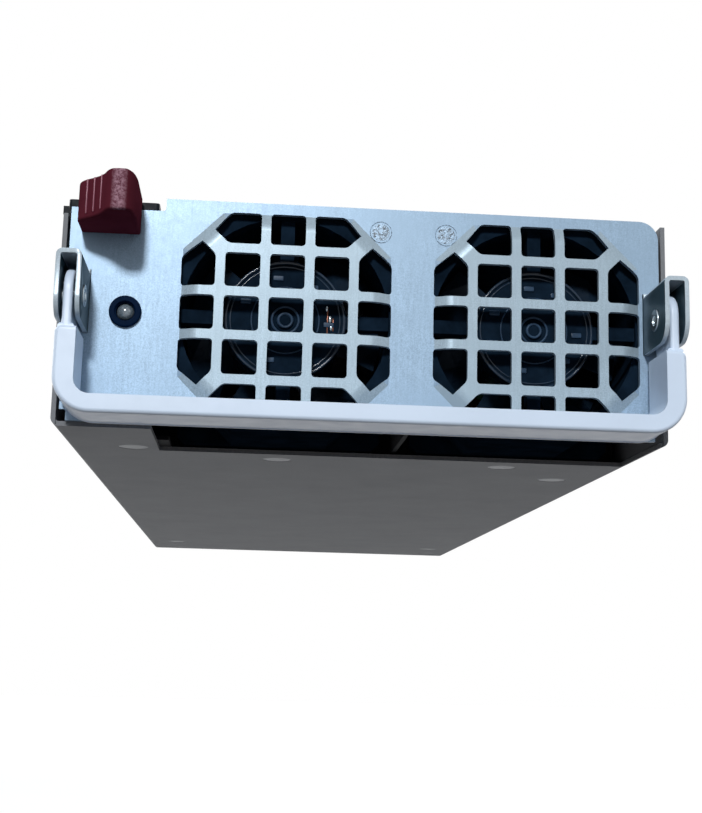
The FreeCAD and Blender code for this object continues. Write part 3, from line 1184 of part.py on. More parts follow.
def case_fasteners():
    """Flush screws of the underside and side walls, rivets of the front and rear panels."""
    screws = []
    for k, (x, y) in enumerate(BOTTOM_SCREWS + STANDOFF_SCREWS):
        head = peg("bottom_head_%d" % k, "Z", "screw_head - seam", "screw_sink", "screw_head_depth",
                   x=x, y=y)
        shank = peg("bottom_shank_%d" % k, "Z", "screw_width - seam", "2 * screw_sink", "screw_reach",
                    x=x, y=y)
        screws.append(fuse("bottom_screw_%d" % k, [head, shank]))
    keep("bottom_screws", group("bottom_screws", screws))
    screws = []
    for k, row in enumerate(SIDE_SCREW_ROWS):
        y = FRONT + " + " + row
        head = peg("side_head_%d" % k, "X", "screw_head - seam", "body_width / 2 - screw_head_depth",
                   "body_width / 2 - screw_sink", y=y, z=SIDE_SCREW_Z)
        shank = peg("side_shank_%d" % k, "X", "screw_width - seam", "body_width / 2 - screw_reach",
                    "body_width / 2 - 2 * screw_sink", y=y, z=SIDE_SCREW_Z)
        right = fuse("side_screw_%d" % k, [head, shank])
        screws.extend([right, mirrored("side_screw_left_%d" % k, right)])
    keep("cover_screws", group("cover_screws", screws))
    rivets = []
    for k, y in enumerate([FRONT + " + panel_flange - 3", REAR + " - panel_flange + 3.5"]):
        head = peg("rivet_head_%d" % k, "X", "rivet_face", "body_width / 2",
                    "body_width / 2 + rivet_rise", y=y, z="rivet_height")
        rivets.extend([head, mirrored("rivet_head_left_%d" % k, head)])
    keep("side_rivets", group("side_rivets", rivets))


# Main board and what stands on it

def board_parts():
    """Insulating sheet, main board, standoffs and their screws."""
    left = "-body_width / 2 + case_sheet + board_margin"
    right = "body_width / 2 - case_sheet - board_margin"
    near_y = FRONT + " + board_front"
    far_y = REAR + " - board_rear"
    sheet_body = new_body("insulating_sheet")
    add(sheet_body, "XY", "case_sheet", "case_sheet + insulator_sheet",
        rectangle(left, right, near_y, far_y))
    cut(sheet_body, "XY", "0", "2 * case_sheet + 1",
        *[ring(x, y, "standoff_width + 0.6", 6) for x, y in STANDOFFS])
    keep("insulating_sheet", sheet_body)
    keep("main_board", block("main_board", left, right, near_y, far_y, "board_rise", BOARD_TOP))
    posts = []
    nuts = []
    for k, (x, y) in enumerate(STANDOFFS):
        post = peg("post_%d" % k, "Z", "standoff_width", "case_sheet", "board_rise", x=x, y=y, sides=6)
        if (x, y) in STANDOFF_SCREWS:
            bore = peg("post_bore_%d" % k, "Z", "screw_width", "0", "screw_reach + seam", x=x, y=y)
            post = subtract("standoff_%d" % k, post, bore)
        posts.append(post)
        nuts.append(peg("board_nut_%d" % k, "Z", "screw_head", BOARD_TOP, BOARD_TOP + " + nut_height",
                        x=x, y=y, sides=6))
    keep("board_standoffs", group("board_standoffs", posts))
    keep("board_nuts", group("board_nuts", nuts))


def heatsink(side, fins):
    """Extruded aluminium comb: a base wall along Y with fins across it."""
    body = new_body(side + "_heatsink")
    left = side + "_sink_x"
    start = side + "_sink_y"
    length = side + "_sink_length"
    add(body, "XY", BOARD_TOP, BOARD_TOP + " + heatsink_height",
        rectangle(left, left + " + sink_base", start, "%s + %s" % (start, length)))
    ribs = []
    for k in range(fins):
        middle = "%s + %s * %s / %d" % (start, k + 0.5, length, fins)
        ribs.append(rectangle(left + " + sink_base - seam", "%s + %s_sink_width" % (left, side),
                              middle + " - sink_fin / 2", middle + " + sink_fin / 2"))
    add(body, "XY", BOARD_TOP, BOARD_TOP + " + heatsink_height", *ribs)
    keep(side + "_heatsink", body)


def transformer():
    """Ferrite core around a wound coil former."""
    core = new_body("transformer_core")
    x0, x1 = "transformer_x - core_width / 2", "transformer_x + core_width / 2"
    y0, y1 = "transformer_y - core_depth / 2", "transformer_y + core_depth / 2"
    low = BOARD_TOP + " + core_limb"
    high = BOARD_TOP + " + core_height - core_limb"
    add(core, "XZ", y0, y1, rectangle(x0, x1, BOARD_TOP, BOARD_TOP + " + core_height"))
    cut(core, "XZ", y0 + " - 1", y1 + " + 1",
        rectangle(x0 + " + core_limb", "transformer_x - core_limb", low, high),
        rectangle("transformer_x + core_limb", x1 + " - core_limb", low, high))
    keep("transformer_core", core)
    coil = new_body("transformer_winding")
    add(coil, "XY", low + " + seam", high + " - seam", rectangle(
        "transformer_x - winding_width / 2", "transformer_x + winding_width / 2",
        "transformer_y - winding_depth / 2", "transformer_y + winding_depth / 2"))
    bevel_edges(coil, "core_limb / 2", lambda edge: along(edge, Z_AXIS))
    cut(coil, "XY", low, high, rectangle(
        "transformer_x - core_limb - seam", "transformer_x + core_limb + seam",
        "transformer_y - core_depth / 2 - seam", "transformer_y + core_depth / 2 + seam"))
    keep("transformer_winding", coil)


def choke(position):
    """Wound ring lying on the board."""
    body = new_body(position + "_choke")
    x = position + "_choke_x"
    y = position + "_choke_y"
    add(body, "XY", BOARD_TOP, BOARD_TOP + " + choke_depth", ring(x, y, "choke_width", 20),
        ring(x, y, "choke_width - 2 * choke_depth", 20))
    keep(position + "_choke", body)


def capacitors():
    """Two large cans lying on the board, a bank of small ones and a film box."""
    for k in range(2):
        x = "can_x + %s * (can_width + 2)" % k
        label = "bulk_capacitor_%s" % ("left", "right")[k]
        keep(label, cylinder(label, "Y", "can_width", "can_y", "can_y + can_length", x=x,
                             z=BOARD_TOP + " + can_width / 2"))
    cans = []
    for k in range(6):
        cans.append(peg("output_can_%d" % k, "Z", "small_can_width", BOARD_TOP,
                        BOARD_TOP + " + small_can_height",
                        x="small_can_x + %d * (small_can_width + 1.5)" % (k % 3),
                        y="small_can_y + %d * (small_can_width + 1.5)" % (k // 3)))
    keep("output_capacitors", group("output_capacitors", cans))
    keep("film_capacitor", block(
        "film_capacitor", "film_x", "film_x + film_width", "film_y", "film_y + film_depth",
        BOARD_TOP, BOARD_TOP + " + film_height"))


def control_board():
    """Upright card with its chips, plugged into the main board."""
    card = block("control_card", "control_x", "control_x + board_sheet", "control_y",
                 "control_y + control_length", BOARD_TOP, BOARD_TOP + " + heatsink_height")
    chips = [block("chip_%d" % k, "control_x + board_sheet", "control_x + board_sheet + 1.6",
                   "control_y + %d" % (6 + 13 * k), "control_y + %d" % (14 + 13 * k),
                   BOARD_TOP + " + 9", BOARD_TOP + " + 17") for k in range(3)]
    keep("control_board", fuse("control_board", [card] + chips))


# Docking plug at the rear

def docking_plug():
    """Moulded housing on the board's rear edge with power slots and a signal block."""
    left = "plug_offset - plug_width / 2"
    right = "plug_offset + plug_width / 2"
    top = BOARD_TOP + " + plug_height"
    housing = new_body("plug_housing")
    add(housing, "XZ", REAR + " - plug_depth", REAR + " + plug_reach", rectangle(left, right, BOARD_TOP, top))
    end_y = VALUE["body_length"] / 2 + VALUE["plug_reach"]
    bevel_edges(housing, "1", lambda edge: near(edge.CenterOfMass.y, end_y))
    slots = []
    for k in range(6):
        x = left + " + 5 + %d * blade_pitch" % k
        slots.append(rectangle(x + " - slot_half", x + " + slot_half", BOARD_TOP + " + 2.5", top + " - 2.5"))
    slots.append(rectangle(right + " - 22", right + " - 3", BOARD_TOP + " + 3", top + " - 3"))
    cut(housing, "XZ", REAR + " + plug_reach - slot_depth", REAR + " + plug_reach + 1", *slots)
    keep("plug_housing", housing)
    blades = []
    for k in range(6):
        x = left + " + 5 + %d * blade_pitch" % k
        blades.append(block("power_blade_%d" % k, x + " - blade_sheet / 2", x + " + blade_sheet / 2",
                            REAR + " + plug_reach - slot_depth",
                            REAR + " + plug_reach - 2", BOARD_TOP + " + 4", top + " - 4"))
    keep("power_blades", group("power_blades", blades))
    pins = []
    for column in range(6):
        for line in range(3):
            x = right + " - 20 + %d * pin_pitch" % column
            z = BOARD_TOP + " + 5 + %d * pin_rise" % line
            pins.append(block("pin_%d_%d" % (column, line), x + " - pin_width / 2", x + " + pin_width / 2",
                              REAR + " + plug_reach - slot_depth", REAR + " + plug_reach - 3",
                              z + " - pin_width / 2", z + " + pin_width / 2"))
    keep("signal_pins", group("signal_pins", pins))


for build in (chassis_tray, top_cover, front_panel, rear_panel, fan_bracket, fan_divider,
              handle_bracket, pivot_rivet, bail_handle, latch_plate, latch_bracket, latch_studs,
              latch_spring, latch_cap, indicator, case_fasteners, board_parts, transformer, capacitors,
              control_board, docking_plug):
    build()
for side, middle in (("left", LEFT_FAN_X), ("right", RIGHT_FAN_X)):
    fan_frame(side + "_fan_frame", middle)
    fan_rotor(side + "_fan_rotor", middle)
    fan_screws(side + "_fan_screws", middle)
for side, fins in (("primary", 9), ("secondary", 8)):
    heatsink(side, fins)
for position in ("input", "boost", "output"):
    choke(position)
doc.recompute()

failed = [thing.Label for thing in doc.Objects if "Invalid" in thing.State or "Error" in thing.State]
if failed:
    raise RuntimeError("failed objects: " + ", ".join(failed))
for label, thing in pieces.items():
    if thing.Shape.isNull() or not thing.Shape.isValid():
        raise RuntimeError(label + " has no valid shape")

os.makedirs("parts", exist_ok=True)
for label, thing in pieces.items():
    thing.Shape.exportStep("parts/%s.step" % label)
print(len(pieces), "pieces written")
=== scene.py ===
import math
import random

import bpy
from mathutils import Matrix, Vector


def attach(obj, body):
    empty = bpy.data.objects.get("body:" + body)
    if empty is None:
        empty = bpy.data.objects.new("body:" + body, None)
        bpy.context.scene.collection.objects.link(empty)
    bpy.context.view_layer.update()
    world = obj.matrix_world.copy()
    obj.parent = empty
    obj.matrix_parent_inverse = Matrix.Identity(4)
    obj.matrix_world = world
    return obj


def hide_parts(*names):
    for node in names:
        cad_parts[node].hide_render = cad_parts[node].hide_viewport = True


bl_info = {
    "name": "Hot swap power supply",
    "version": (1, 0, 0),
    "blender": (4, 5, 0),
    "location": "View3D > Sidebar > Supply",
    "description": "Builds a server power supply with handle, latch, fan grilles and plug",
    "category": "Object",
}

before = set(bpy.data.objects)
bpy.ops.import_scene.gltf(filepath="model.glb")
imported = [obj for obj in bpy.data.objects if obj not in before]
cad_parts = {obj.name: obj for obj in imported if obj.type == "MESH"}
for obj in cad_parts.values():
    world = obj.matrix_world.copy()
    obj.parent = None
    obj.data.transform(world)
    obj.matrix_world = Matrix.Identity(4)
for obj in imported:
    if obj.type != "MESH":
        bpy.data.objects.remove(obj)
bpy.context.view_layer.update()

MM = 0.001

# Places in millimetres: panel's front and back, middles of the fans, pivot, status lamp
FACE = -135.0
BACK = FACE + 1
AXIS_Z = 20.25
FANS = {"left": -14.1, "right": 29.7}
PIVOT = Vector((0.5, -142.0, 20.55))
LAMP = Vector((-41.4, 0.0, 19.85))

# Bail and its opening, widths measured from the pivot's middle
BAIL_HALF, BAIL_LOW, BAIL_TOP, BAIL_CORNER = 52.0, 0.1, 14.35, 6.2
WINDOW_HALF, WINDOW_LOW, WINDOW_CORNER = 48.4, 3.3, 2.6

# Right bracket: inner and outer face along X, lower and upper edge, radius of the pivot hole
CHEEK_IN, CHEEK_OUT, CHEEK_LOW, CHEEK_HIGH, PIVOT_HOLE = 48.6, 52.75, 15.95, 26.95, 1.3

# Tests on edges: share of a direction that counts as along an axis, distance that counts as none
ALONG = 0.9
NEAR = 0.01


# Sizes and colours a user may change

class CaseSettings(bpy.types.PropertyGroup):
    zinc: bpy.props.FloatVectorProperty(
        name="Panel zinc", description="Colour of the zinc plated front panel",
        subtype="COLOR", size=3, min=0.0, max=1.0, default=(0.29, 0.405, 0.53))
    # The case's zinc is set darker than the panel's; part of that darkness is painted shade of the
    # underside.
    case: bpy.props.FloatVectorProperty(
        name="Case zinc", description="Colour of the plated case",
        subtype="COLOR", size=3, min=0.0, max=1.0, default=(0.21, 0.22, 0.235))
    spangle: bpy.props.FloatProperty(
        name="Spangle", description="Size of the crystals in the zinc",
        unit="LENGTH", default=0.0011, min=0.0002, max=0.01)
    edge_round: bpy.props.FloatProperty(
        name="Punched edge", description="Rounding of punched sheet edges",
        unit="LENGTH", default=0.00012, min=0.00002, max=0.0005)


class HandleSettings(bpy.types.PropertyGroup):
    paint: bpy.props.FloatVectorProperty(
        name="Handle paint", description="Colour of the handle's coating",
        subtype="COLOR", size=3, min=0.0, max=1.0, default=(0.66, 0.78, 0.94))
    edge_round: bpy.props.FloatProperty(
        name="Handle edge", description="Rounding of the handle's long edges",
        unit="LENGTH", default=0.0007, min=0.0001, max=0.0015)


class LatchSettings(bpy.types.PropertyGroup):
    cap: bpy.props.FloatVectorProperty(
        name="Cap colour", description="Colour of the thumb cap's plastic",
        subtype="COLOR", size=3, min=0.0, max=1.0, default=(0.086, 0.015, 0.025))
    ribs: bpy.props.IntProperty(
        name="Ribs", description="Grip ribs on the cap's slope", default=3, min=1, max=6)


class FanSettings(bpy.types.PropertyGroup):
    plastic: bpy.props.FloatVectorProperty(
        name="Fan plastic", description="Colour of the fan's moulded parts",
        subtype="COLOR", size=3, min=0.0, max=1.0, default=(0.0035, 0.008, 0.015))


class StageSettings(bpy.types.PropertyGroup):
    floor_level: bpy.props.FloatProperty(
        name="Floor level", description="Height of the floor under the case",
        unit="LENGTH", default=-0.19, min=-1.0, max=-0.06)


# Editing by hand, in millimetres

def fresh():
    """Leave edit mode and deselect everything."""
    if bpy.context.mode != "OBJECT":
        bpy.ops.object.mode_set(mode="OBJECT")
    bpy.ops.object.select_all(action="DESELECT")


def only(piece):
    fresh()
    piece.select_set(True)
    bpy.context.view_layer.objects.active = piece


def named(name):
    """Name the new active object and put its place into its mesh."""
    bpy.ops.object.transform_apply(location=True, rotation=True, scale=True)
    piece = bpy.context.active_object
    piece.name = name
    piece.data.name = name
    return piece


def box(name, low, high):
    fresh()
    middle = [(a + b) / 2 * MM for a, b in zip(low, high)]
    size = [(b - a) * MM for a, b in zip(low, high)]
    bpy.ops.mesh.primitive_cube_add(size=1, location=middle, scale=size)
    return named(name)


TURN = {"X": (0, math.pi / 2, 0), "Y": (math.pi / 2, 0, 0), "Z": (0, 0, 0)}


def rod(name, axis, centre, radius, low, high, sides=48):
    """Round bar along an axis from coordinate low to high."""
    fresh()
    place = list(centre)
    place["XYZ".index(axis)] = (low + high) / 2
    bpy.ops.mesh.primitive_cylinder_add(
        vertices=sides, radius=radius * MM, depth=(high - low) * MM,
        location=[v * MM for v in place], rotation=TURN[axis])
    return named(name)


def slab(name, points, axis, low, high):
    """Flat blank of any outline, drawn on a disc's rim and extruded along an axis."""
    fresh()
    bpy.ops.mesh.primitive_circle_add(vertices=len(points), radius=MM, fill_type="NGON")
    piece = named(name)
    order = {"X": (1, 2, 0), "Y": (0, 2, 1), "Z": (0, 1, 2)}[axis]
    rim = piece.data.polygons[0].vertices[:]
    for k, index in enumerate(rim):
        spot = [0.0, 0.0, 0.0]
        spot[order[0]] = points[k][0] * MM
        spot[order[1]] = points[k][1] * MM
        spot[order[2]] = low * MM
        piece.data.vertices[index].co = spot
    only(piece)
    bpy.ops.object.mode_set(mode="EDIT")
    bpy.ops.mesh.select_all(action="SELECT")
    way = [0.0, 0.0, 0.0]
    way[order[2]] = (high - low) * MM
    bpy.ops.mesh.extrude_region_move(TRANSFORM_OT_translate={"value": way})
    bpy.ops.mesh.select_all(action="SELECT")
    bpy.ops.mesh.normals_make_consistent(inside=False)
    fresh()
    return piece


def pick(piece, kind, test):
    """Enter edit mode with the edges or faces whose middle and direction pass a test."""
    only(piece)
    bpy.ops.object.mode_set(mode="EDIT")
    bpy.ops.mesh.select_mode(type=kind)
    bpy.ops.mesh.select_all(action="DESELECT")
    bpy.ops.object.mode_set(mode="OBJECT")
    mesh = piece.data
    count = 0
    for item in (mesh.edges if kind == "EDGE" else mesh.polygons):
        ends = [mesh.vertices[k].co / MM for k in item.vertices]
        middle = sum(ends, Vector()) / len(ends)
        way = (ends[1] - ends[0]).normalized() if kind == "EDGE" else item.normal
        item.select = bool(test(middle, way))
        count += item.select
    if not count:
        raise RuntimeError("%s: nothing picked" % piece.name)
    bpy.ops.object.mode_set(mode="EDIT")


def bevel(piece, width, segments, test):
    pick(piece, "EDGE", test)
    bpy.ops.mesh.bevel(offset=width * MM, segments=segments, affect="EDGES", clamp_overlap=True)
    fresh()


def cut_off(piece, point, normal):
    """Bisect a piece and drop the side the normal points to."""
    only(piece)
    bpy.ops.object.mode_set(mode="EDIT")
    bpy.ops.mesh.select_all(action="SELECT")
    bpy.ops.mesh.bisect(
        plane_co=[v * MM for v in point], plane_no=normal, use_fill=True, clear_outer=True)
    fresh()


def combine(piece, tool, operation="UNION"):
    only(piece)
    change = piece.modifiers.new("shape", "BOOLEAN")
    change.operation = operation
    change.solver = "EXACT"
    change.object = tool
    bpy.ops.object.modifier_apply(modifier=change.name)
    bpy.data.objects.remove(tool, do_unlink=True)


def join(name, parts):
    fresh()
    for part in parts:
        part.select_set(True)
    bpy.context.view_layer.objects.active = parts[0]
    bpy.ops.object.join()
    return named(name)


def moved(piece, way):
    """A copy with a mesh of its own, shifted."""
    only(piece)
    bpy.ops.object.duplicate()
    bpy.ops.transform.translate(value=[v * MM for v in way])
    return named(piece.name)


def turned(piece, axis, angle, centre):
    """A copy with a mesh of its own, turned about an axis through a point."""
    only(piece)
    bpy.ops.object.duplicate()
    bpy.ops.transform.rotate(
        value=angle, orient_axis=axis, center_override=[v * MM for v in centre])
    return named(piece.name)


def mirrored(piece, name, middle):
    """The same piece on the other side of an upright plane."""
    only(piece)
    bpy.ops.object.duplicate()
    bpy.ops.transform.mirror(
        constraint_axis=(True, False, False), center_override=(middle * MM, 0, 0))
    copy = named(name)
    bpy.ops.object.mode_set(mode="EDIT")
    bpy.ops.mesh.select_all(action="SELECT")
    bpy.ops.mesh.normals_make_consistent(inside=False)
    fresh()
    return copy


def soften(piece, width, segments=2, angle=38, crease=40):
    """Round every sharp edge and shade the piece smooth up to a crease angle."""
    only(piece)
    change = piece.modifiers.new("edges", "BEVEL")
    change.width = width * MM
    change.segments = segments
    change.limit_method = "ANGLE"
    change.angle_limit = math.radians(angle)
    bpy.ops.object.modifier_apply(modifier=change.name)
    smooth(piece, crease)


def smooth(piece, angle=40):
    """Shade smooth between sharp edges, with the large faces kept flat."""
    only(piece)
    bpy.ops.object.shade_smooth_by_angle(angle=math.radians(angle))
    even = piece.modifiers.new("flats", "WEIGHTED_NORMAL")
    even.keep_sharp = True
    bpy.ops.object.modifier_apply(modifier=even.name)


def settle(piece, body, slot, finish, *nodes):
    """Give a piece its material and its body, in place of the nodes it stands for."""
    piece.data.materials.clear()
    piece.data.materials.append(finish)
    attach(piece, body)
    if nodes:
        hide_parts(*nodes)


def dress(finish, *nodes):
    """Give CAD nodes a better material."""
    for name in nodes:
        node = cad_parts[name]
        if not node.material_slots:
            node.data.materials.append(finish)
        for slot in node.material_slots:
            slot.material = finish


# Finishes

finishes = {}


def feed(tree, value, socket):
    """Link another socket, or set a number or a colour of three values."""
    if isinstance(value, bpy.types.NodeSocket):
        tree.links.new(value, socket)
    else:
        socket.default_value = (*value, 1.0) if isinstance(value, tuple) else value


def reckon(tree, operation, *values):
    """Result of a math node on numbers or sockets."""
    node = tree.nodes.new("ShaderNodeMath")
    node.operation = operation
    for value, socket in zip(values, node.inputs):
        feed(tree, value, socket)
    return node.outputs[0]


class Recipe:
    """Node chain of one material; positions are read in the object's own space."""

    def __init__(self, name):
        self.material = bpy.data.materials.new(name)
        self.material.use_nodes = True
        self.tree = self.material.node_tree
        self.tree.nodes.clear()
        self.output = self.tree.nodes.new("ShaderNodeOutputMaterial")
        self.shader = self.tree.nodes.new("ShaderNodeBsdfPrincipled")
        self.tree.links.new(self.shader.outputs["BSDF"], self.output.inputs["Surface"])
        self.place = self.tree.nodes.new("ShaderNodeTexCoord").outputs["Object"]
        self.normal = None
        finishes[name] = self.material

    def set(self, **values):
        """Give inputs of the shader a number, a colour or a pattern."""
        for name, value in values.items():
            title = name.replace("_", " ").title().replace("Ior", "IOR")
            feed(self.tree, value, self.shader.inputs[title])

    def mapping(self, scale):
        """The place with each axis scaled."""
        node = self.tree.nodes.new("ShaderNodeMapping")
        node.inputs["Scale"].default_value = scale
        self.tree.links.new(self.place, node.inputs["Vector"])
        return node.outputs["Vector"]

    def noise(self, size, detail=3.0, rough=0.55, where=None):
        """Noise with features of a size in metres."""
        node = self.tree.nodes.new("ShaderNodeTexNoise")
        node.inputs["Scale"].default_value = 1.0 / size
        node.inputs["Detail"].default_value = detail
        node.inputs["Roughness"].default_value = rough
        self.tree.links.new(where or self.place, node.inputs["Vector"])
        return node.outputs["Fac"]

    def cells(self, size):
        """A random shade for each crystal of a size in metres."""
        node = self.tree.nodes.new("ShaderNodeTexVoronoi")
        node.inputs["Scale"].default_value = 1.0 / size
        self.tree.links.new(self.place, node.inputs["Vector"])
        return node.outputs["Color"]

    def ramp(self, source, low, high, start=0.3, end=0.7):
        """Map a pattern between start and end to numbers from low to high."""
        node = self.tree.nodes.new("ShaderNodeMapRange")
        node.inputs["From Min"].default_value = start
        node.inputs["From Max"].default_value = end
        node.inputs["To Min"].default_value = low
        node.inputs["To Max"].default_value = high
        self.tree.links.new(source, node.inputs["Value"])
        return node.outputs["Result"]

    def band(self, axis, middle):
        """Distance from a plane across an axis, in metres."""
        split = self.tree.nodes.new("ShaderNodeSeparateXYZ")
        self.tree.links.new(self.place, split.inputs[0])
        away = reckon(self.tree, "SUBTRACT", split.outputs[axis], middle)
        return reckon(self.tree, "ABSOLUTE", away)

    def blend(self, factor, first, second):
        """Mix two colours by a pattern or a share; each colour is a tuple or a socket."""
        node = self.tree.nodes.new("ShaderNodeMix")
        node.data_type = "RGBA"
        for index, value in ((0, factor), (6, first), (7, second)):
            feed(self.tree, value, node.inputs[index])
        return node.outputs[2]

    def bump(self, height, strength, depth):
        """Add relief of a depth in metres; calls add up."""
        node = self.tree.nodes.new("ShaderNodeBump")
        node.inputs["Strength"].default_value = strength
        node.inputs["Distance"].default_value = depth
        self.tree.links.new(height, node.inputs["Height"])
        if self.normal:
            self.tree.links.new(self.normal, node.inputs["Normal"])
        self.normal = node.outputs["Normal"]
        self.set(normal=self.normal)


def shade(colour, amount):
    return tuple(min(1.0, c * amount) for c in colour)


def zinc_finish(name, colour, rough, metal, spangle, wear, shine=0.15, fleck=0.03):
    """Zinc plate: faint crystals, fine speckle, upright rolling lines, soft stains."""
    recipe = Recipe(name)
    crystal = recipe.ramp(recipe.cells(spangle), 0.0, 1.0, 0.1, 0.9)
    speckle = recipe.ramp(recipe.noise(0.00022, 2.0, 0.7), 0.0, 1.0, 0.34, 0.66)
    upright = recipe.mapping((1, 1, 0.12))
    rolled = recipe.ramp(recipe.noise(0.0004, 3.0, 0.6, upright), 0.0, 1.0, 0.35, 0.65)
    stain = recipe.ramp(recipe.noise(0.018, 5.0, 0.6), 0.0, 1.0, 0.35, 0.7)
    colours = recipe.blend(crystal, shade(colour, 1 - fleck), shade(colour, 1 + fleck))
    for pattern, low, high, share in ((speckle, 0.5, 1.5, 0.5), (rolled, 0.78, 1.22, 0.35)):
        layer = recipe.blend(pattern, shade(colour, low), shade(colour, high))
        colours = recipe.blend(share, colours, layer)
    recipe.set(
        metallic=metal, specular_ior_level=shine,
        base_color=recipe.blend(stain, colours, shade(colour, 1.0 - wear)),
        roughness=recipe.ramp(crystal, rough - 0.015, rough + 0.02, 0.0, 1.0))
    recipe.bump(recipe.noise(0.00018, 2.0, 0.6), 0.4, 0.000012)
    recipe.bump(recipe.noise(0.0012, 3.0, 0.6), 0.15, 0.00002)


def paint_finish(name, colour):
    """Baked coating: fine orange peel, small pits, faint smudges."""
    recipe = Recipe(name)
    smudge = recipe.ramp(recipe.noise(0.012, 4.0, 0.6), 0.0, 1.0, 0.4, 0.75)
    recipe.set(
        metallic=0.0, coat_weight=0.15, coat_roughness=0.3,
        base_color=recipe.blend(smudge, colour, shade(colour, 0.93)),
        roughness=recipe.ramp(recipe.noise(0.003, 4.0, 0.6), 0.34, 0.5))
    recipe.bump(recipe.noise(0.0006, 2.0, 0.5), 0.25, 0.00002)
    recipe.bump(recipe.noise(0.0001, 2.0, 0.5), 0.12, 0.000008)


def moulded_finish(name, colour, rough=0.42, grain=0.00022, depth=0.00001, pale=1.5, shine=0.5):
    """Moulded plastic with an eroded grain."""
    recipe = Recipe(name)
    cloud = recipe.ramp(recipe.noise(0.005, 4.0, 0.6), 0.0, 1.0)
    recipe.set(
        metallic=0.0, specular_ior_level=shine,
        base_color=recipe.blend(cloud, colour, shade(colour, pale)),
        roughness=recipe.ramp(recipe.noise(0.0012, 3.0, 0.6), rough - 0.06, rough + 0.08))
    recipe.bump(recipe.noise(grain, 3.0, 0.6), 0.5, depth)


def metal_finish(name, colour, rough, brushed=(1, 1, 1)):
    """Bare or bright plated metal with fine lines along one way."""
    recipe = Recipe(name)
    lines = recipe.noise(0.0002, 4.0, 0.6, recipe.mapping(brushed))
    cloud = recipe.ramp(recipe.noise(0.006, 4.0, 0.6), 0.0, 1.0)
    recipe.set(
        metallic=1.0, base_color=recipe.blend(cloud, shade(colour, 0.86), colour),
        roughness=recipe.ramp(lines, rough - 0.07, rough + 0.09))
    recipe.bump(lines, 0.3, 0.000006)


def cap_finish(name, colour):
    """Plastic of the thumb cap, with a pale strip along its nose as a painted highlight."""
    strip_x, strip_y = -0.0421, -0.1494
    recipe = Recipe(name)
    cloud = recipe.ramp(recipe.noise(0.005, 4.0, 0.6), 0.0, 1.0)
    grit = recipe.ramp(recipe.noise(0.0004, 3.0, 0.7), 0.0, 1.0, 0.38, 0.62)
    beside = recipe.ramp(recipe.band(0, strip_x), 1.0, 0.0, 0.0006, 0.0014)
    behind = recipe.ramp(recipe.band(1, strip_y), 1.0, 0.0, 0.0002, 0.0009)
    plain_colour = recipe.blend(cloud, colour, shade(colour, 1.2))
    # The pale speckled strip along the nose is a painted highlight of the lamp, not wear.
    painted_highlight_colour = recipe.blend(grit, (0.13, 0.045, 0.065), (0.36, 0.21, 0.26))
    strip = reckon(recipe.tree, "MULTIPLY", beside, behind)
    recipe.set(
        metallic=0.0, specular_ior_level=0.0,
        base_color=recipe.blend(strip, plain_colour, painted_highlight_colour),
        roughness=recipe.ramp(grit, 0.4, 0.6))
    recipe.bump(recipe.noise(0.0003, 3.0, 0.6), 0.5, 0.00002)


def lens_finish(name):
    """Cloudy clear plastic of the unlit lamp."""
    recipe = Recipe(name)
    cloud = recipe.ramp(recipe.noise(0.0004, 2.0), 0.0, 1.0)
    recipe.set(
        metallic=0.0, transmission_weight=0.15, ior=1.49, coat_weight=0.8, coat_roughness=0.08,
        base_color=recipe.blend(cloud, (0.09, 0.12, 0.15), (0.20, 0.25, 0.29)),
        roughness=recipe.ramp(recipe.noise(0.0008, 2.0), 0.2, 0.32))


def clinch_finish(name, colour):
    """Torn zinc of the pressed marks."""
    recipe = Recipe(name)
    facets = recipe.ramp(recipe.noise(0.0006, 4.0, 0.8), 0.0, 1.0, 0.42, 0.58)
    recipe.set(
        metallic=0.3, base_color=recipe.blend(facets, shade(colour, 0.12), shade(colour, 1.05)),
        roughness=recipe.ramp(recipe.noise(0.0006), 0.25, 0.5))
    recipe.bump(recipe.noise(0.00035, 3.0, 0.7), 0.6, 0.00012)


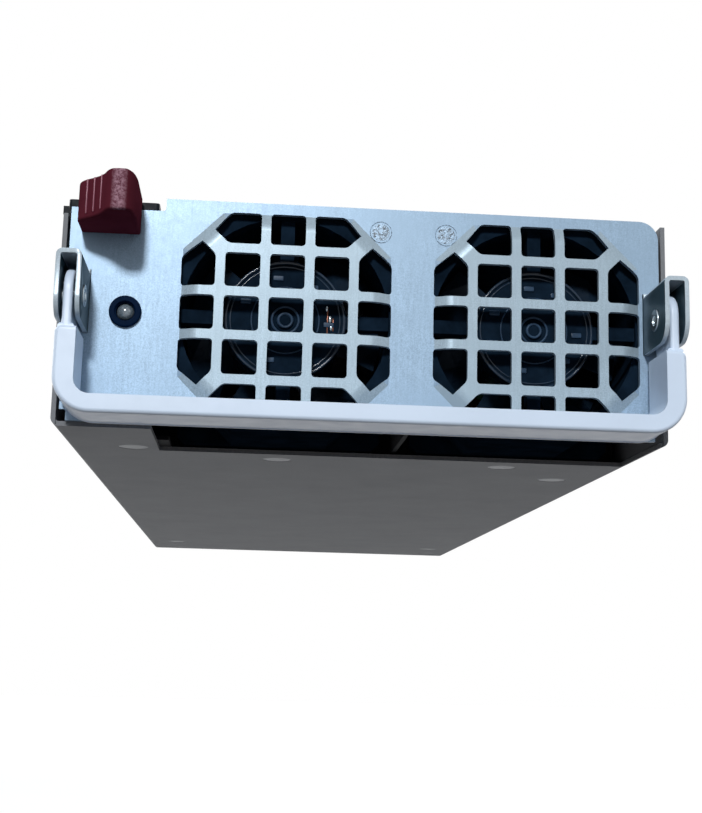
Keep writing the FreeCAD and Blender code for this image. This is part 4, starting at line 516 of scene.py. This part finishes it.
def make_finishes():
    scene = bpy.context.scene
    zinc = tuple(scene.supply_case.zinc)
    grille = tuple(c * amount for c, amount in zip(zinc, (1.12, 1.03, 0.92)))
    dark = tuple(scene.supply_case.case)
    spangle = scene.supply_case.spangle
    fan = tuple(scene.supply_fan.plastic)
    zinc_finish("zinc_plate", zinc, 0.38, 0.2, spangle, 0.06)
    zinc_finish("grille_plate", grille, 0.38, 0.2, spangle, 0.06)
    zinc_finish("cover_plate", shade(zinc, 1.1), 0.45, 0.3, spangle * 2.5, 0.12, 0.2, 0.14)
    # The case's dark colour is partly painted shade of its underside.
    zinc_finish("case_plate", dark, 0.55, 0.06, spangle * 2.5, 0.14, 0.08, 0.14)
    # Near-black copy of the case zinc for the parts inside: painted shade of the case's inside.
    zinc_finish("inner_painted_shade", shade(dark, 0.06), 0.7, 0.0, spangle, 0.2, 0.03)
    zinc_finish("screw_zinc", (0.26, 0.27, 0.29), 0.45, 0.25, spangle * 0.5, 0.2)
    zinc_finish("cut_edge", (0.42, 0.50, 0.56), 0.38, 0.25, spangle * 0.5, 0.1)
    # Darker copy of the bracket steel for the cheeks' faces: painted shade.
    zinc_finish("cheek_painted_shade", (0.05, 0.095, 0.125), 0.36, 0.3, spangle * 0.5, 0.3)
    paint_finish("handle_paint", tuple(scene.supply_handle.paint))
    cap_finish("cap_plastic", tuple(scene.supply_latch.cap))
    # Paler plastic of the grip ribs: a painted highlight on their ridges.
    moulded_finish("cap_rib_highlight", (0.26, 0.09, 0.13), 0.3, 0.0003, 0.00002, 1.2, 0.2)
    moulded_finish("fan_plastic", fan, 0.6, 0.0003, 0.00001, 2.4, 0.0)
    moulded_finish("hub_plastic", shade(fan, 2.0), 0.16, 0.0009, 0.00001, 2.0, 0.3)
    moulded_finish("rotor_plastic", shade(fan, 1.4), 0.3, 0.0006, 0.00001, 2.0, 0.08)
    moulded_finish("moulded_marks", shade(fan, 4.0), 0.35, 0.0003, 0.00001, 2.0, 0.15)
    moulded_finish("bezel_plastic", (0.0015, 0.008, 0.026), 0.4, 0.0004, 0.000005, 1.3, 0.01)
    moulded_finish("plug_plastic", (0.012, 0.012, 0.014), 0.45)
    moulded_finish("board_mask", (0.02, 0.12, 0.06), 0.35, 0.0006)
    moulded_finish("film_sheet", (0.6, 0.58, 0.5), 0.5)
    moulded_finish("film_case", (0.55, 0.38, 0.04), 0.4)
    moulded_finish("can_sleeve", (0.015, 0.02, 0.05), 0.3)
    moulded_finish("ferrite", (0.03, 0.03, 0.033), 0.55, 0.0004, 0.00004)
    moulded_finish("black_steel", (0.004, 0.006, 0.009), 0.45, 0.0002, 0.00001, 1.6, 0.08)
    metal_finish("screw_plate", (0.36, 0.42, 0.46), 0.3)
    metal_finish("sink_aluminium", (0.6, 0.61, 0.63), 0.4, (1, 1, 12))
    metal_finish("gold_flash", (0.75, 0.52, 0.2), 0.25)
    metal_finish("winding_wire", (0.24, 0.10, 0.07), 0.35, (6, 6, 1))
    lens_finish("lamp_lens")
    clinch_finish("clinch_marks", zinc)


# Front panel

def octagon_blank(name, middle, level, rise, depth):
    """Raised octagon with a sloping band, standing on a level across Y."""
    half, corner, slope, edge = 18.0, 6.706, 2.4, 0.8
    blank = box(name, (middle - half, level, AXIS_Z - half),
                (middle + half, level + depth, AXIS_Z + half))
    bevel(blank, corner, 1, lambda spot, way: abs(way.y) > ALONG)
    pick(blank, "FACE", lambda spot, way: way.y < -ALONG)
    bpy.ops.mesh.inset(thickness=slope * MM, depth=0)
    bpy.ops.transform.translate(value=(0, -rise * MM, 0))
    fresh()
    bevel(blank, edge, 4, lambda spot, way: abs(spot.y - level + rise) < NEAR)
    return blank


def grille_cells(middle):
    """Cutters for one grille: nine square cells, four edge cells, eight pointed ones."""
    pitch, half, corner = 7.68, 3.025, 0.65
    inner, reach = 12.335, 18.2
    near, far, shoulder, blunt = 4.655, 12.7, 14.75, 0.6
    low, high = FACE - 3, FACE + 3

    def cutter(x0, x1, z0, z1):
        return box("cell", (middle + x0, low, AXIS_Z + z0), (middle + x1, high, AXIS_Z + z1))

    cell = cutter(-half, half, -half, half)
    bevel(cell, corner, 4, lambda spot, way: abs(way.y) > ALONG)
    cells = [moved(cell, (pitch * i, 0, pitch * k))
             for i in (-1, 0, 1) for k in (-1, 0, 1) if i or k]
    cells.append(cell)
    side = cutter(-half, half, inner, reach)
    bevel(side, corner, 4, lambda spot, way: abs(way.y) > ALONG)
    sides = [side]
    for hand in (-1, 1):
        x0, x1 = sorted((hand * near, hand * far))
        pointed = cutter(x0, x1, inner, reach)
        tip = (middle + hand * far, 0, AXIS_Z + shoulder)
        cut_off(pointed, tip, Vector((hand * 3.45, 0, 2.8)).normalized())
        cut_off(pointed, tip, Vector((hand * 1, 0, -1)).normalized())
        bevel(pointed, blunt, 4, lambda spot, way, tip=tip: (
            abs(way.y) > ALONG and abs(spot.x - tip[0]) > 0.5))
        sides.append(pointed)
    for shape in list(sides):
        for quarter in (1, 2, 3):
            sides.append(turned(shape, "Y", math.pi / 2 * quarter, (middle, 0, AXIS_Z)))
    return cells + sides


def build_panel():
    """Plate with folded edges, a notch for the cap, two embossed grilles, slits and a lamp hole."""
    half, low, high, fold_end = 51.5, 0.8, 40.35, FACE + 9
    rise, depth, hole_radius = 1.2, 0.5, 2.4
    slit_near, slit_far, slit_low, slit_high = 48.0, 48.95, 15.85, 27.05
    panel = box("front_panel_plate", (-half, FACE, low), (half, BACK, high))
    bevel(panel, 3.4, 10, lambda spot, way: abs(way.y) > ALONG and spot.x > 51 and spot.z > 40)
    folds = [
        box("fold", (-33.35, FACE, 39.35), (48.1, fold_end, high)),
        box("fold", (50.5, FACE, 4.0), (half, fold_end, 36.95)),
        box("fold", (-half, FACE, 4.0), (-50.5, fold_end, 33.0)),
    ]
    for fold in folds:
        combine(panel, fold)
    notch = box("notch", (-60, FACE - 1, 38.1), (-35.35, FACE + 2, 45))
    bevel(notch, 0.5, 3, lambda spot, way: abs(way.y) > ALONG and spot.x > -36 and spot.z < 39)
    combine(panel, notch, "DIFFERENCE")
    for side in (-1, 1):
        x0, x1 = sorted((side * 50.4, side * 54))
        corner = box("corner", (x0, FACE - 1, -1), (x1, FACE + 3, 2.7))
        bevel(corner, 0.4, 3, lambda spot, way: (
            abs(way.y) > ALONG and abs(spot.x) < 51 and spot.z > 2))
        combine(panel, corner, "DIFFERENCE")
    bevel(panel, 0.85, 5, lambda spot, way: abs(spot.y - FACE) < NEAR and abs(way.y) < 0.1 and (
        (spot.z > 40.3 and spot.x > -35.3) or abs(spot.x) > 51.45
        or (spot.x > 48.0 and spot.z > 36.9)))
    for middle in FANS.values():
        combine(panel, octagon_blank("emboss", middle, FACE, rise, depth))
    for middle in FANS.values():
        combine(panel, octagon_blank("hollow", middle, BACK, rise, depth), "DIFFERENCE")
    cutters = []
    for middle in FANS.values():
        cutters += grille_cells(middle)
    combine(panel, join("cutters", cutters), "DIFFERENCE")
    hole = rod("hole", "Y", LAMP, hole_radius, FACE - 2, FACE + 2, 40)
    combine(panel, hole, "DIFFERENCE")
    for side in (-1, 1):
        x0, x1 = sorted((PIVOT.x + side * slit_near, PIVOT.x + side * slit_far))
        slit = box("slit", (x0, FACE - 2, slit_low), (x1, FACE + 2, slit_high))
        combine(panel, slit, "DIFFERENCE")
    soften(panel, bpy.context.scene.supply_case.edge_round / MM, 2, 50, 24)
    settle(panel, "chassis", "zinc_steel", finishes["zinc_plate"], "front_panel")
    panel.data.materials.append(finishes["grille_plate"])
    for face in panel.data.polygons:
        if face.center.y < (FACE - 0.15) * MM:
            face.material_index = 1


def build_clinch_spots():
    """Two rough round marks where the divider's ears are pressed into the panel."""
    height, radius = 36.1, 1.95
    spots = []
    for x in (2.05, 13.55):
        spot = rod("spot", "Y", (x, 0, height), radius, FACE - 0.1, FACE + 0.3, 36)
        pick(spot, "FACE", lambda place, way: way.y < -ALONG)
        bpy.ops.mesh.inset(thickness=0.22 * MM, depth=-0.16 * MM)
        bpy.ops.mesh.inset(thickness=0.3 * MM, depth=0.1 * MM)
        fresh()
        spots.append(spot)
    marks = join("clinch_spots", spots)
    soften(marks, 0.05)
    settle(marks, "chassis", "zinc_steel", finishes["clinch_marks"])


# Handle and its brackets

def bail_blank(name, inset, low, high, corner):
    """Bail without its opening, from low to high along Y and smaller by an inset."""
    left, right = PIVOT.x - BAIL_HALF + inset, PIVOT.x + BAIL_HALF - inset
    blank = box(name, (left, low, BAIL_LOW + inset), (right, high, BAIL_TOP))
    bevel(blank, corner, 5, lambda spot, way: abs(way.y) > ALONG and spot.z > 5)
    bevel(blank, BAIL_CORNER - inset, 18, lambda spot, way: abs(way.y) > ALONG and spot.z < 5)
    return blank


def on_window(spot):
    """Whether a point lies on the outline of the bail's opening."""
    across, up = abs(spot.x - PIVOT.x), spot.z
    straight, bend = WINDOW_HALF - WINDOW_CORNER, WINDOW_LOW + WINDOW_CORNER
    if across > straight and up < bend:
        return abs(math.hypot(across - straight, bend - up) - WINDOW_CORNER) < 0.04
    return abs(across - WINDOW_HALF) < 0.02 or (
        abs(up - WINDOW_LOW) < 0.02 and across < straight + 0.1)


def build_handle():
    """Bail: soft front edges, a thin rim at the back, round tongues in the brackets."""
    width = bpy.context.scene.supply_handle.edge_round / MM
    half_depth, tongue_half, bore = 5.1, 4.2, 1.35
    near, far = 49.375, 50.975
    low, high = PIVOT.y - half_depth, PIVOT.y + half_depth
    bail = bail_blank("bail", 0.15, low, high - 0.4, width * 1.6)
    bevel(bail, width, 5, lambda spot, way: abs(spot.y - low) < NEAR and abs(way.y) < 0.1)
    rim = bail_blank("rim", 0.0, high - 0.6, high, width * 1.2)
    bevel(rim, 0.2, 2, lambda spot, way: abs(way.y) < 0.1)
    combine(bail, rim)
    window = box("window", (PIVOT.x - WINDOW_HALF, low - 1, WINDOW_LOW),
                 (PIVOT.x + WINDOW_HALF, high + 1, 20))
    bevel(window, WINDOW_CORNER, 12, lambda spot, way: abs(way.y) > ALONG and spot.z < 5)
    combine(bail, window, "DIFFERENCE")
    bevel(bail, width * 0.4, 3, lambda spot, way: (
        on_window(spot) and spot.y < high - 0.7 and (abs(way.y) < ALONG or spot.z > 14.2)))
    for side in (-1, 1):
        x0, x1 = sorted((PIVOT.x + side * near, PIVOT.x + side * far))
        tongue = box("tongue", (x0, PIVOT.y - tongue_half, 12.6),
                     (x1, PIVOT.y + tongue_half, PIVOT.z + tongue_half))
        bevel(tongue, 4.19, 14, lambda spot, way: abs(way.x) > ALONG and spot.z > 20)
        combine(tongue, rod("bore", "X", PIVOT, bore, x0 - 1, x1 + 1, 32), "DIFFERENCE")
        bevel(tongue, 0.55, 4, lambda spot, way, a=x0, b=x1: spot.z > 13 and (
            min(abs(spot.x - a), abs(spot.x - b)) < NEAR) and (spot - PIVOT).yz.length > 3)
        combine(bail, tongue)
        neck = box("neck", (x0 - 0.5, PIVOT.y - 4.3, 13.4),
                   (x1 + 0.5, PIVOT.y + tongue_half, 14.95))
        bevel(neck, 0.49, 5, lambda spot, way: spot.z > 14.9)
        combine(bail, neck)
    smooth(bail, 40)
    bail.name = "handle_bail"
    settle(bail, "handle", "handle_coat", finishes["handle_paint"], "bail_handle")


def build_brackets():
    """Folded brackets; the cut edges are bright, and the cheeks' faces get a darker copy of the
    steel as painted shade.
    """
    nose, end, room_in, room_out = FACE - 12.6, FACE + 1.75, 49.35, 52.0
    outer = box("right_bracket_cheeks", (CHEEK_IN, nose, CHEEK_LOW), (CHEEK_OUT, FACE, CHEEK_HIGH))
    bevel(outer, 1.05, 5, lambda spot, way: abs(way.y) > ALONG and spot.z > 26)
    bevel(outer, 3.5, 8, lambda spot, way: (
        abs(way.x) > ALONG and spot.z < 16.5 and spot.y < FACE - 12))
    room = box("room", (room_in, FACE - 14, 14), (room_out, BACK, 26.2))
    bevel(room, 0.35, 4, lambda spot, way: abs(way.y) > ALONG and spot.z > 26)
    combine(outer, room, "DIFFERENCE")
    combine(outer, box("tail", (CHEEK_IN, FACE - 0.5, CHEEK_LOW), (room_in, end, CHEEK_HIGH)))
    combine(outer, box("flange", (49.0, BACK, CHEEK_LOW), (50.35, end, CHEEK_HIGH)))
    combine(outer, rod("bore", "X", PIVOT, PIVOT_HOLE, 40, 60, 32), "DIFFERENCE")
    soften(outer, 0.1, 2, 50)
    left = mirrored(outer, "left_bracket_cheeks", PIVOT.x)
    for side, piece in (("right", outer), ("left", left)):
        settle(piece, "chassis", "bracket_steel", finishes["cut_edge"], side + "_handle_bracket")
        # Faces across X get the darker copy as painted shade.
        piece.data.materials.append(finishes["cheek_painted_shade"])
        for face in piece.data.polygons:
            if abs(face.normal.x) > 0.95:
                face.material_index = 1


def build_rivets():
    """Pivot rivets: domed head outside, a low rolled ring round a hollow end inside."""
    head_end, roll_end = 53.25, 48.35
    head = rod("right_rivet", "X", PIVOT, 2.2, CHEEK_OUT, head_end, 40)
    bevel(head, 0.35, 4, lambda spot, way: spot.x > head_end - 0.05)
    combine(head, rod("shank", "X", PIVOT, PIVOT_HOLE, 48.4, 53.0, 40))
    roll = rod("roll", "X", PIVOT, 1.9, roll_end, CHEEK_IN, 40)
    bevel(roll, 0.2, 4, lambda spot, way: abs(spot.x - roll_end) < NEAR)
    combine(head, roll)
    combine(head, rod("bore", "X", PIVOT, 1.0, 47, 49.2, 32), "DIFFERENCE")
    soften(head, 0.08, 2, 50)
    left = mirrored(head, "left_rivet", PIVOT.x)
    for side, piece in (("right", head), ("left", left)):
        settle(piece, "chassis", "screw_steel", finishes["screw_plate"], side + "_pivot_rivet")


# Latch

def build_latch_cap():
    """Thumb cap: hollow slope with thin grip ribs in a paler plastic as painted highlights, flat
    nose, edges broken all round.
    """
    ribs = bpy.context.scene.supply_latch.ribs
    left, low, high = -49.6, 33.4, 40.4
    slope_wide, slope_deep, half_ridge = 3.9, 3.75, 0.12
    outline = [(0.0, 0.3), (0.0, 5.7), (0.12, 6.4), (0.45, 7.1), (1.0, 7.8), (2.6, 9.1),
               (3.8, 10.3), (4.6, 11.5), (5.15, 12.8), (5.5, 13.45), (5.85, 13.9), (6.3, 14.2),
               (6.8, 14.33), (7.6, 14.38), (8.4, 14.38), (8.8, 14.2), (9.2, 13.65), (9.6, 12.8),
               (9.88, 11.6), (10.03, 10.2), (10.1, 8.6), (10.1, 0.3)]
    cap = slab("thumb_cap", [(left + x, FACE - reach) for x, reach in outline], "Z", low, high)
    bevel(cap, 0.5, 4, lambda spot, way: abs(spot.z - low) < NEAR or abs(spot.z - high) < NEAR)
    smooth(cap, 42)
    settle(cap, "latch", "latch_burgundy", finishes["cap_plastic"], "latch_cap")
    ridges = []
    for k in range(ribs):
        share = (k + 0.5) / ribs
        x = left + 1.0 + slope_wide * share
        y = FACE - 7.95 - slope_deep * share ** 1.25
        ridge = box("ridge", (x - half_ridge, y - 0.2, 34.3), (x + half_ridge, y + 1.2, 40.2))
        bevel(ridge, 0.1, 3, lambda spot, way, y=y: spot.y < y)
        ridges.append(ridge)
    grip = join("cap_ridges", ridges)
    smooth(grip, 40)
    # The ribs get the paler plastic as a painted highlight.
    settle(grip, "latch", "latch_burgundy", finishes["cap_rib_highlight"])


def build_latch_plate():
    """Sliding plate: tongue into the cap, two slots, a tail for the spring and the tooth."""
    low, high = 38.35, 39.85
    plate = slab("lock_plate", [
        (-52.2, BACK + 0.15), (-47.8, BACK + 0.15), (-47.8, FACE - 5.2), (-41.3, FACE - 5.2),
        (-41.3, BACK + 0.15), (-36.6, BACK + 0.15), (-36.6, BACK + 13), (-45.5, BACK + 13),
        (-45.5, BACK + 15.8), (-47.1, BACK + 15.8), (-47.1, BACK + 13), (-52.2, BACK + 13),
        (-52.2, BACK + 11.5), (-53.65, BACK + 10), (-53.65, BACK + 4), (-52.2, BACK + 4),
    ], "Z", low, high)
    for x in (-46.1, -40.2):
        slot = box("slot", (x - 3.3, BACK + 3.7, 37), (x + 1.3, BACK + 6.3, 41))
        bevel(slot, 1.25, 6, lambda spot, way: abs(way.z) > ALONG)
        combine(plate, slot, "DIFFERENCE")
    bevel(plate, 0.6, 4, lambda spot, way: (
        abs(way.z) > ALONG and (spot.y < BACK + 1 or spot.y > BACK + 12)))
    soften(plate, 0.18, 3, 50)
    settle(plate, "latch", "latch_black", finishes["black_steel"], "latch_plate")


# Lamp

def build_lamp():
    """Bezel with a stepped bore and a domed lens in it."""
    rim = FACE - 0.8
    bezel = rod("lamp_bezel", "Y", LAMP, 2.75, rim, FACE, 64)
    bevel(bezel, 0.28, 4, lambda spot, way: abs(spot.y - rim) < NEAR)
    combine(bezel, rod("barrel", "Y", LAMP, 2.3, FACE - 0.2, FACE + 4, 48))
    combine(bezel, rod("mouth", "Y", LAMP, 1.78, FACE - 2, FACE - 0.35, 48), "DIFFERENCE")
    combine(bezel, rod("bore", "Y", LAMP, 1.56, FACE - 2, FACE + 5, 48), "DIFFERENCE")
    soften(bezel, 0.09, 3, 50)
    settle(bezel, "chassis", "bezel_navy", finishes["bezel_plastic"], "led_bezel")
    fresh()
    bpy.ops.mesh.primitive_uv_sphere_add(
        segments=40, ring_count=20, radius=1.52 * MM,
        location=(LAMP.x * MM, (FACE + 0.78) * MM, LAMP.z * MM))
    dome = named("lamp_dome")
    cut_off(dome, (0, FACE + 0.75, 0), (0, 1, 0))
    combine(dome, rod("stem", "Y", LAMP, 1.5, FACE + 0.7, FACE + 5.5, 40))
    smooth(dome, 50)
    settle(dome, "chassis", "lamp_lens", finishes["lamp_lens"], "led_lamp")


# Fans

def ring_tube(centre, level, radius, thick):
    """Thin round bead lying across Y."""
    fresh()
    bpy.ops.mesh.primitive_torus_add(
        major_radius=radius * MM, minor_radius=thick * MM, major_segments=84, minor_segments=10,
        location=(centre * MM, level * MM, AXIS_Z * MM), rotation=TURN["Y"])
    return named("ring")


def build_motor_fronts():
    """Rims, rings and chips on the fans' fixed motor plates; solder and wires on the left one."""
    face = FACE + 2.7
    chips, step, chip_ring, chip_wide, chip_high = 7, 51.4, 7.6, 0.9, 0.45
    for side, middle in FANS.items():
        rims = join(side + "_motor_rim", [ring_tube(middle, face - 0.05, 10.3, 0.3),
                                          ring_tube(middle, face, 9.55, 0.16)])
        smooth(rims, 60)
        settle(rims, "chassis", "fan_black", finishes["hub_plastic"])
        parts = [ring_tube(middle, face, 2.35, 0.2), ring_tube(middle, face, 1.2, 0.24),
                 ring_tube(middle, face, 5.9, 0.12)]
        random.seed(3 if side == "left" else 8)
        for k in range(chips):
            angle = math.radians(step * k + random.uniform(-8, 8))
            x = middle + chip_ring * math.cos(angle)
            z = AXIS_Z + chip_ring * math.sin(angle)
            chip = box("chip", (x - chip_wide, face - 0.3, z - chip_high),
                       (x + chip_wide, face + 0.1, z + chip_high))
            bevel(chip, 0.15, 2, lambda spot, way: spot.y < face)
            parts.append(chip)
        marks = join(side + "_motor_marks", parts)
        smooth(marks, 40)
        settle(marks, "chassis", "fan_black", finishes["moulded_marks"])
    solder = []
    for x, z, radius in ((-6.3, 20.7, 0.42), (-6.1, 19.2, 0.34), (-6.9, 22.6, 0.3)):
        fresh()
        bpy.ops.mesh.primitive_uv_sphere_add(
            segments=20, ring_count=12, radius=radius * MM,
            location=(x * MM, (face - 0.05) * MM, z * MM), scale=(0.8, 0.8, 1.7))
        solder.append(named("solder"))
    beads = join("left_motor_solder", solder)
    smooth(beads, 60)
    settle(beads, "chassis", "screw_steel", finishes["screw_plate"])
    wires = []
    for x, low, high in ((-6.75, 18.0, 22.9), (-5.75, 18.6, 20.9)):
        wire = rod("wire", "Z", (x, face - 0.02, 0), 0.13, low, high, 12)
        bevel(wire, 0.05, 2, lambda spot, way: abs(way.z) < 0.5)
        wires.append(wire)
    leads = join("left_motor_wires", wires)
    smooth(leads, 60)
    settle(leads, "chassis", "winding", finishes["winding_wire"])


def build_carried_nodes():
    """Materials of the solids that keep their CAD shape."""
    dress(finishes["case_plate"], "chassis_tray")
    dress(finishes["cover_plate"], "top_cover", "rear_panel")
    # The fan bracket, divider and latch bracket get the near-black copy as painted shade.
    dress(finishes["inner_painted_shade"], "fan_bracket", "fan_divider", "latch_bracket")
    dress(finishes["fan_plastic"], "left_fan_frame", "right_fan_frame")
    dress(finishes["rotor_plastic"], "left_fan_rotor", "right_fan_rotor")
    dress(finishes["screw_zinc"], "bottom_screws", "cover_screws", "side_rivets")
    dress(finishes["screw_plate"], "latch_studs", "latch_spring", "board_standoffs", "board_nuts",
          "left_fan_screws", "right_fan_screws")
    dress(finishes["board_mask"], "led_board", "main_board", "control_board")
    dress(finishes["film_sheet"], "insulating_sheet")
    dress(finishes["film_case"], "film_capacitor")
    dress(finishes["can_sleeve"],
          "bulk_capacitor_left", "bulk_capacitor_right", "output_capacitors")
    dress(finishes["ferrite"], "transformer_core")
    dress(finishes["winding_wire"],
          "transformer_winding", "input_choke", "boost_choke", "output_choke")
    dress(finishes["sink_aluminium"], "primary_heatsink", "secondary_heatsink")
    dress(finishes["plug_plastic"], "plug_housing")
    dress(finishes["gold_flash"], "power_blades", "signal_pins")


# Stage

def lamp(name, place, aim, energy, size, colour=(1, 1, 1)):
    """Square area light that looks at a point."""
    light = bpy.data.lights.new(name, "AREA")
    light.energy = energy
    light.color = colour
    light.shape = "RECTANGLE"
    light.size = light.size_y = size
    holder = bpy.data.objects.new(name, light)
    bpy.context.scene.collection.objects.link(holder)
    holder.location = place
    holder.rotation_euler = (Vector(aim) - Vector(place)).to_track_quat("-Z", "Y").to_euler()


def seen_mix(tree, first, second):
    """First shader for diffuse light, second where the camera, gloss or glass sees it."""
    rays = tree.nodes.new("ShaderNodeLightPath")
    factor = rays.outputs["Is Camera Ray"]
    for name in ("Is Glossy Ray", "Is Transmission Ray"):
        factor = reckon(tree, "MAXIMUM", factor, rays.outputs[name])
    mix = tree.nodes.new("ShaderNodeMixShader")
    for value, socket in zip((factor, first, second), mix.inputs):
        tree.links.new(value, socket)
    return mix.outputs["Shader"]


def build_floor():
    """Paper that looks white far off, keeps a shadow near the part and reflects little light."""
    near, far = 0.3, 2.0
    fresh()
    level = bpy.context.scene.supply_stage.floor_level
    bpy.ops.mesh.primitive_plane_add(size=8.0, location=(0, 0, level))
    floor = named("floor")
    recipe = Recipe("floor_paper")
    paper = recipe.blend(recipe.noise(0.3, 2.0), (0.78, 0.79, 0.80), (0.82, 0.82, 0.82))
    recipe.set(roughness=0.9, base_color=paper)
    dim = recipe.tree.nodes.new("ShaderNodeBsdfDiffuse")
    feed(recipe.tree, (0.14, 0.13, 0.13), dim.inputs["Color"])
    reach = recipe.tree.nodes.new("ShaderNodeVectorMath")
    reach.operation = "LENGTH"
    recipe.tree.links.new(recipe.place, reach.inputs[0])
    glow = recipe.tree.nodes.new("ShaderNodeEmission")
    strength = recipe.ramp(reach.outputs["Value"], 0.06, 0.95, near, far)
    recipe.tree.links.new(strength, glow.inputs["Strength"])
    pale = recipe.tree.nodes.new("ShaderNodeAddShader")
    recipe.tree.links.new(recipe.shader.outputs["BSDF"], pale.inputs[0])
    recipe.tree.links.new(glow.outputs["Emission"], pale.inputs[1])
    surface = seen_mix(recipe.tree, dim.outputs["BSDF"], pale.outputs["Shader"])
    recipe.tree.links.new(surface, recipe.output.inputs["Surface"])
    floor.data.materials.append(recipe.material)


def build_world():
    """Soft bluish light, with white surroundings for the camera and for reflections."""
    world = bpy.data.worlds.new("studio")
    bpy.context.scene.world = world
    world.use_nodes = True
    tree = world.node_tree
    tree.nodes.clear()
    output = tree.nodes.new("ShaderNodeOutputWorld")
    shaders = []
    for colour, strength in (((0.88, 0.94, 1.0), 0.17), ((1.0, 1.0, 1.0), 1.0)):
        background = tree.nodes.new("ShaderNodeBackground")
        feed(tree, colour, background.inputs["Color"])
        feed(tree, strength, background.inputs["Strength"])
        shaders.append(background.outputs["Background"])
    tree.links.new(seen_mix(tree, *shaders), output.inputs["Surface"])


def build_camera():
    """The photograph's view; its focal length was solved in pixels of a picture 813 high."""
    focal, picture = 1346.3, 813.0
    scene = bpy.context.scene
    view = bpy.data.cameras.new("photo_view")
    view.sensor_width = 36.0
    view.sensor_fit = "AUTO"
    view.lens = focal / picture * view.sensor_width
    view.clip_start = 0.01
    holder = bpy.data.objects.new("photo_view", view)
    scene.collection.objects.link(holder)
    holder.location = (-0.01915, -0.3601, -0.03661)
    holder.rotation_euler = [math.radians(v) for v in (100.4388, -1.3924, -4.4998)]
    scene.camera = holder
    scene.view_settings.view_transform = "Standard"


def build_stage():
    build_floor()
    build_world()
    front = (0, FACE * MM, 0.02)
    middle = (0, 0, 0.02)
    lamp("key_light", (-0.165, -1.2, 0.55), front, 11.0, 0.13, (0.98, 0.99, 1.0))
    lamp("fill_light", (0.7, -0.7, 0.5), front, 0.8, 0.6)
    lamp("rear_light", (0.7, 0.8, 0.7), middle, 8.0, 0.8)
    lamp("side_light", (-0.9, 0.5, 0.5), middle, 6.0, 0.6)
    build_camera()


# Operators

class SUPPLY_OT_finishes(bpy.types.Operator):
    """Make the materials."""
    bl_idname = "supply.finishes"
    bl_label = "Finishes"

    def execute(self, context):
        make_finishes()
        return {"FINISHED"}


class SUPPLY_OT_panel(bpy.types.Operator):
    """Front panel with both grilles and its clinch spots."""
    bl_idname = "supply.panel"
    bl_label = "Front panel"

    def execute(self, context):
        build_panel()
        build_clinch_spots()
        return {"FINISHED"}


class SUPPLY_OT_handle(bpy.types.Operator):
    """Handle, brackets and rivets."""
    bl_idname = "supply.handle"
    bl_label = "Handle"

    def execute(self, context):
        build_handle()
        build_brackets()
        build_rivets()
        return {"FINISHED"}


class SUPPLY_OT_latch(bpy.types.Operator):
    """Thumb cap and lock plate."""
    bl_idname = "supply.latch"
    bl_label = "Latch"

    def execute(self, context):
        build_latch_cap()
        build_latch_plate()
        return {"FINISHED"}


class SUPPLY_OT_lamp(bpy.types.Operator):
    """Status lamp in its bezel."""
    bl_idname = "supply.lamp"
    bl_label = "Lamp"

    def execute(self, context):
        build_lamp()
        return {"FINISHED"}


class SUPPLY_OT_fans(bpy.types.Operator):
    """Details of the fans."""
    bl_idname = "supply.fans"
    bl_label = "Fans"

    def execute(self, context):
        build_motor_fronts()
        return {"FINISHED"}


class SUPPLY_OT_carried(bpy.types.Operator):
    """Materials of the solids that keep their shape."""
    bl_idname = "supply.carried"
    bl_label = "Case and inner parts"

    def execute(self, context):
        build_carried_nodes()
        return {"FINISHED"}


class SUPPLY_OT_stage(bpy.types.Operator):
    """Floor, lights and camera."""
    bl_idname = "supply.stage"
    bl_label = "Stage"

    def execute(self, context):
        build_stage()
        return {"FINISHED"}


STEPS = (SUPPLY_OT_finishes, SUPPLY_OT_panel, SUPPLY_OT_handle, SUPPLY_OT_latch, SUPPLY_OT_lamp,
         SUPPLY_OT_fans, SUPPLY_OT_carried, SUPPLY_OT_stage)
SETTINGS = {"supply_case": CaseSettings, "supply_handle": HandleSettings,
            "supply_latch": LatchSettings, "supply_fan": FanSettings,
            "supply_stage": StageSettings}


class SUPPLY_PT_panel(bpy.types.Panel):
    """Lists the settings and the steps that build the supply."""
    bl_idname = "SUPPLY_PT_panel"
    bl_label = "Power supply"
    bl_space_type = "VIEW_3D"
    bl_region_type = "UI"
    bl_category = "Supply"

    def draw(self, context):
        for name, group in SETTINGS.items():
            for setting in group.__annotations__:
                self.layout.prop(getattr(context.scene, name), setting)
        for step in STEPS:
            self.layout.operator(step.bl_idname)


CLASSES = tuple(SETTINGS.values()) + STEPS + (SUPPLY_PT_panel,)


def register():
    for item in CLASSES:
        bpy.utils.register_class(item)
    for name, group in SETTINGS.items():
        setattr(bpy.types.Scene, name, bpy.props.PointerProperty(type=group))


def unregister():
    for name in SETTINGS:
        delattr(bpy.types.Scene, name)
    for item in reversed(CLASSES):
        bpy.utils.unregister_class(item)


def main():
    register()
    for step in STEPS:
        group, name = step.bl_idname.split(".")
        getattr(getattr(bpy.ops, group), name)()


if __name__ == "__main__":
    main()
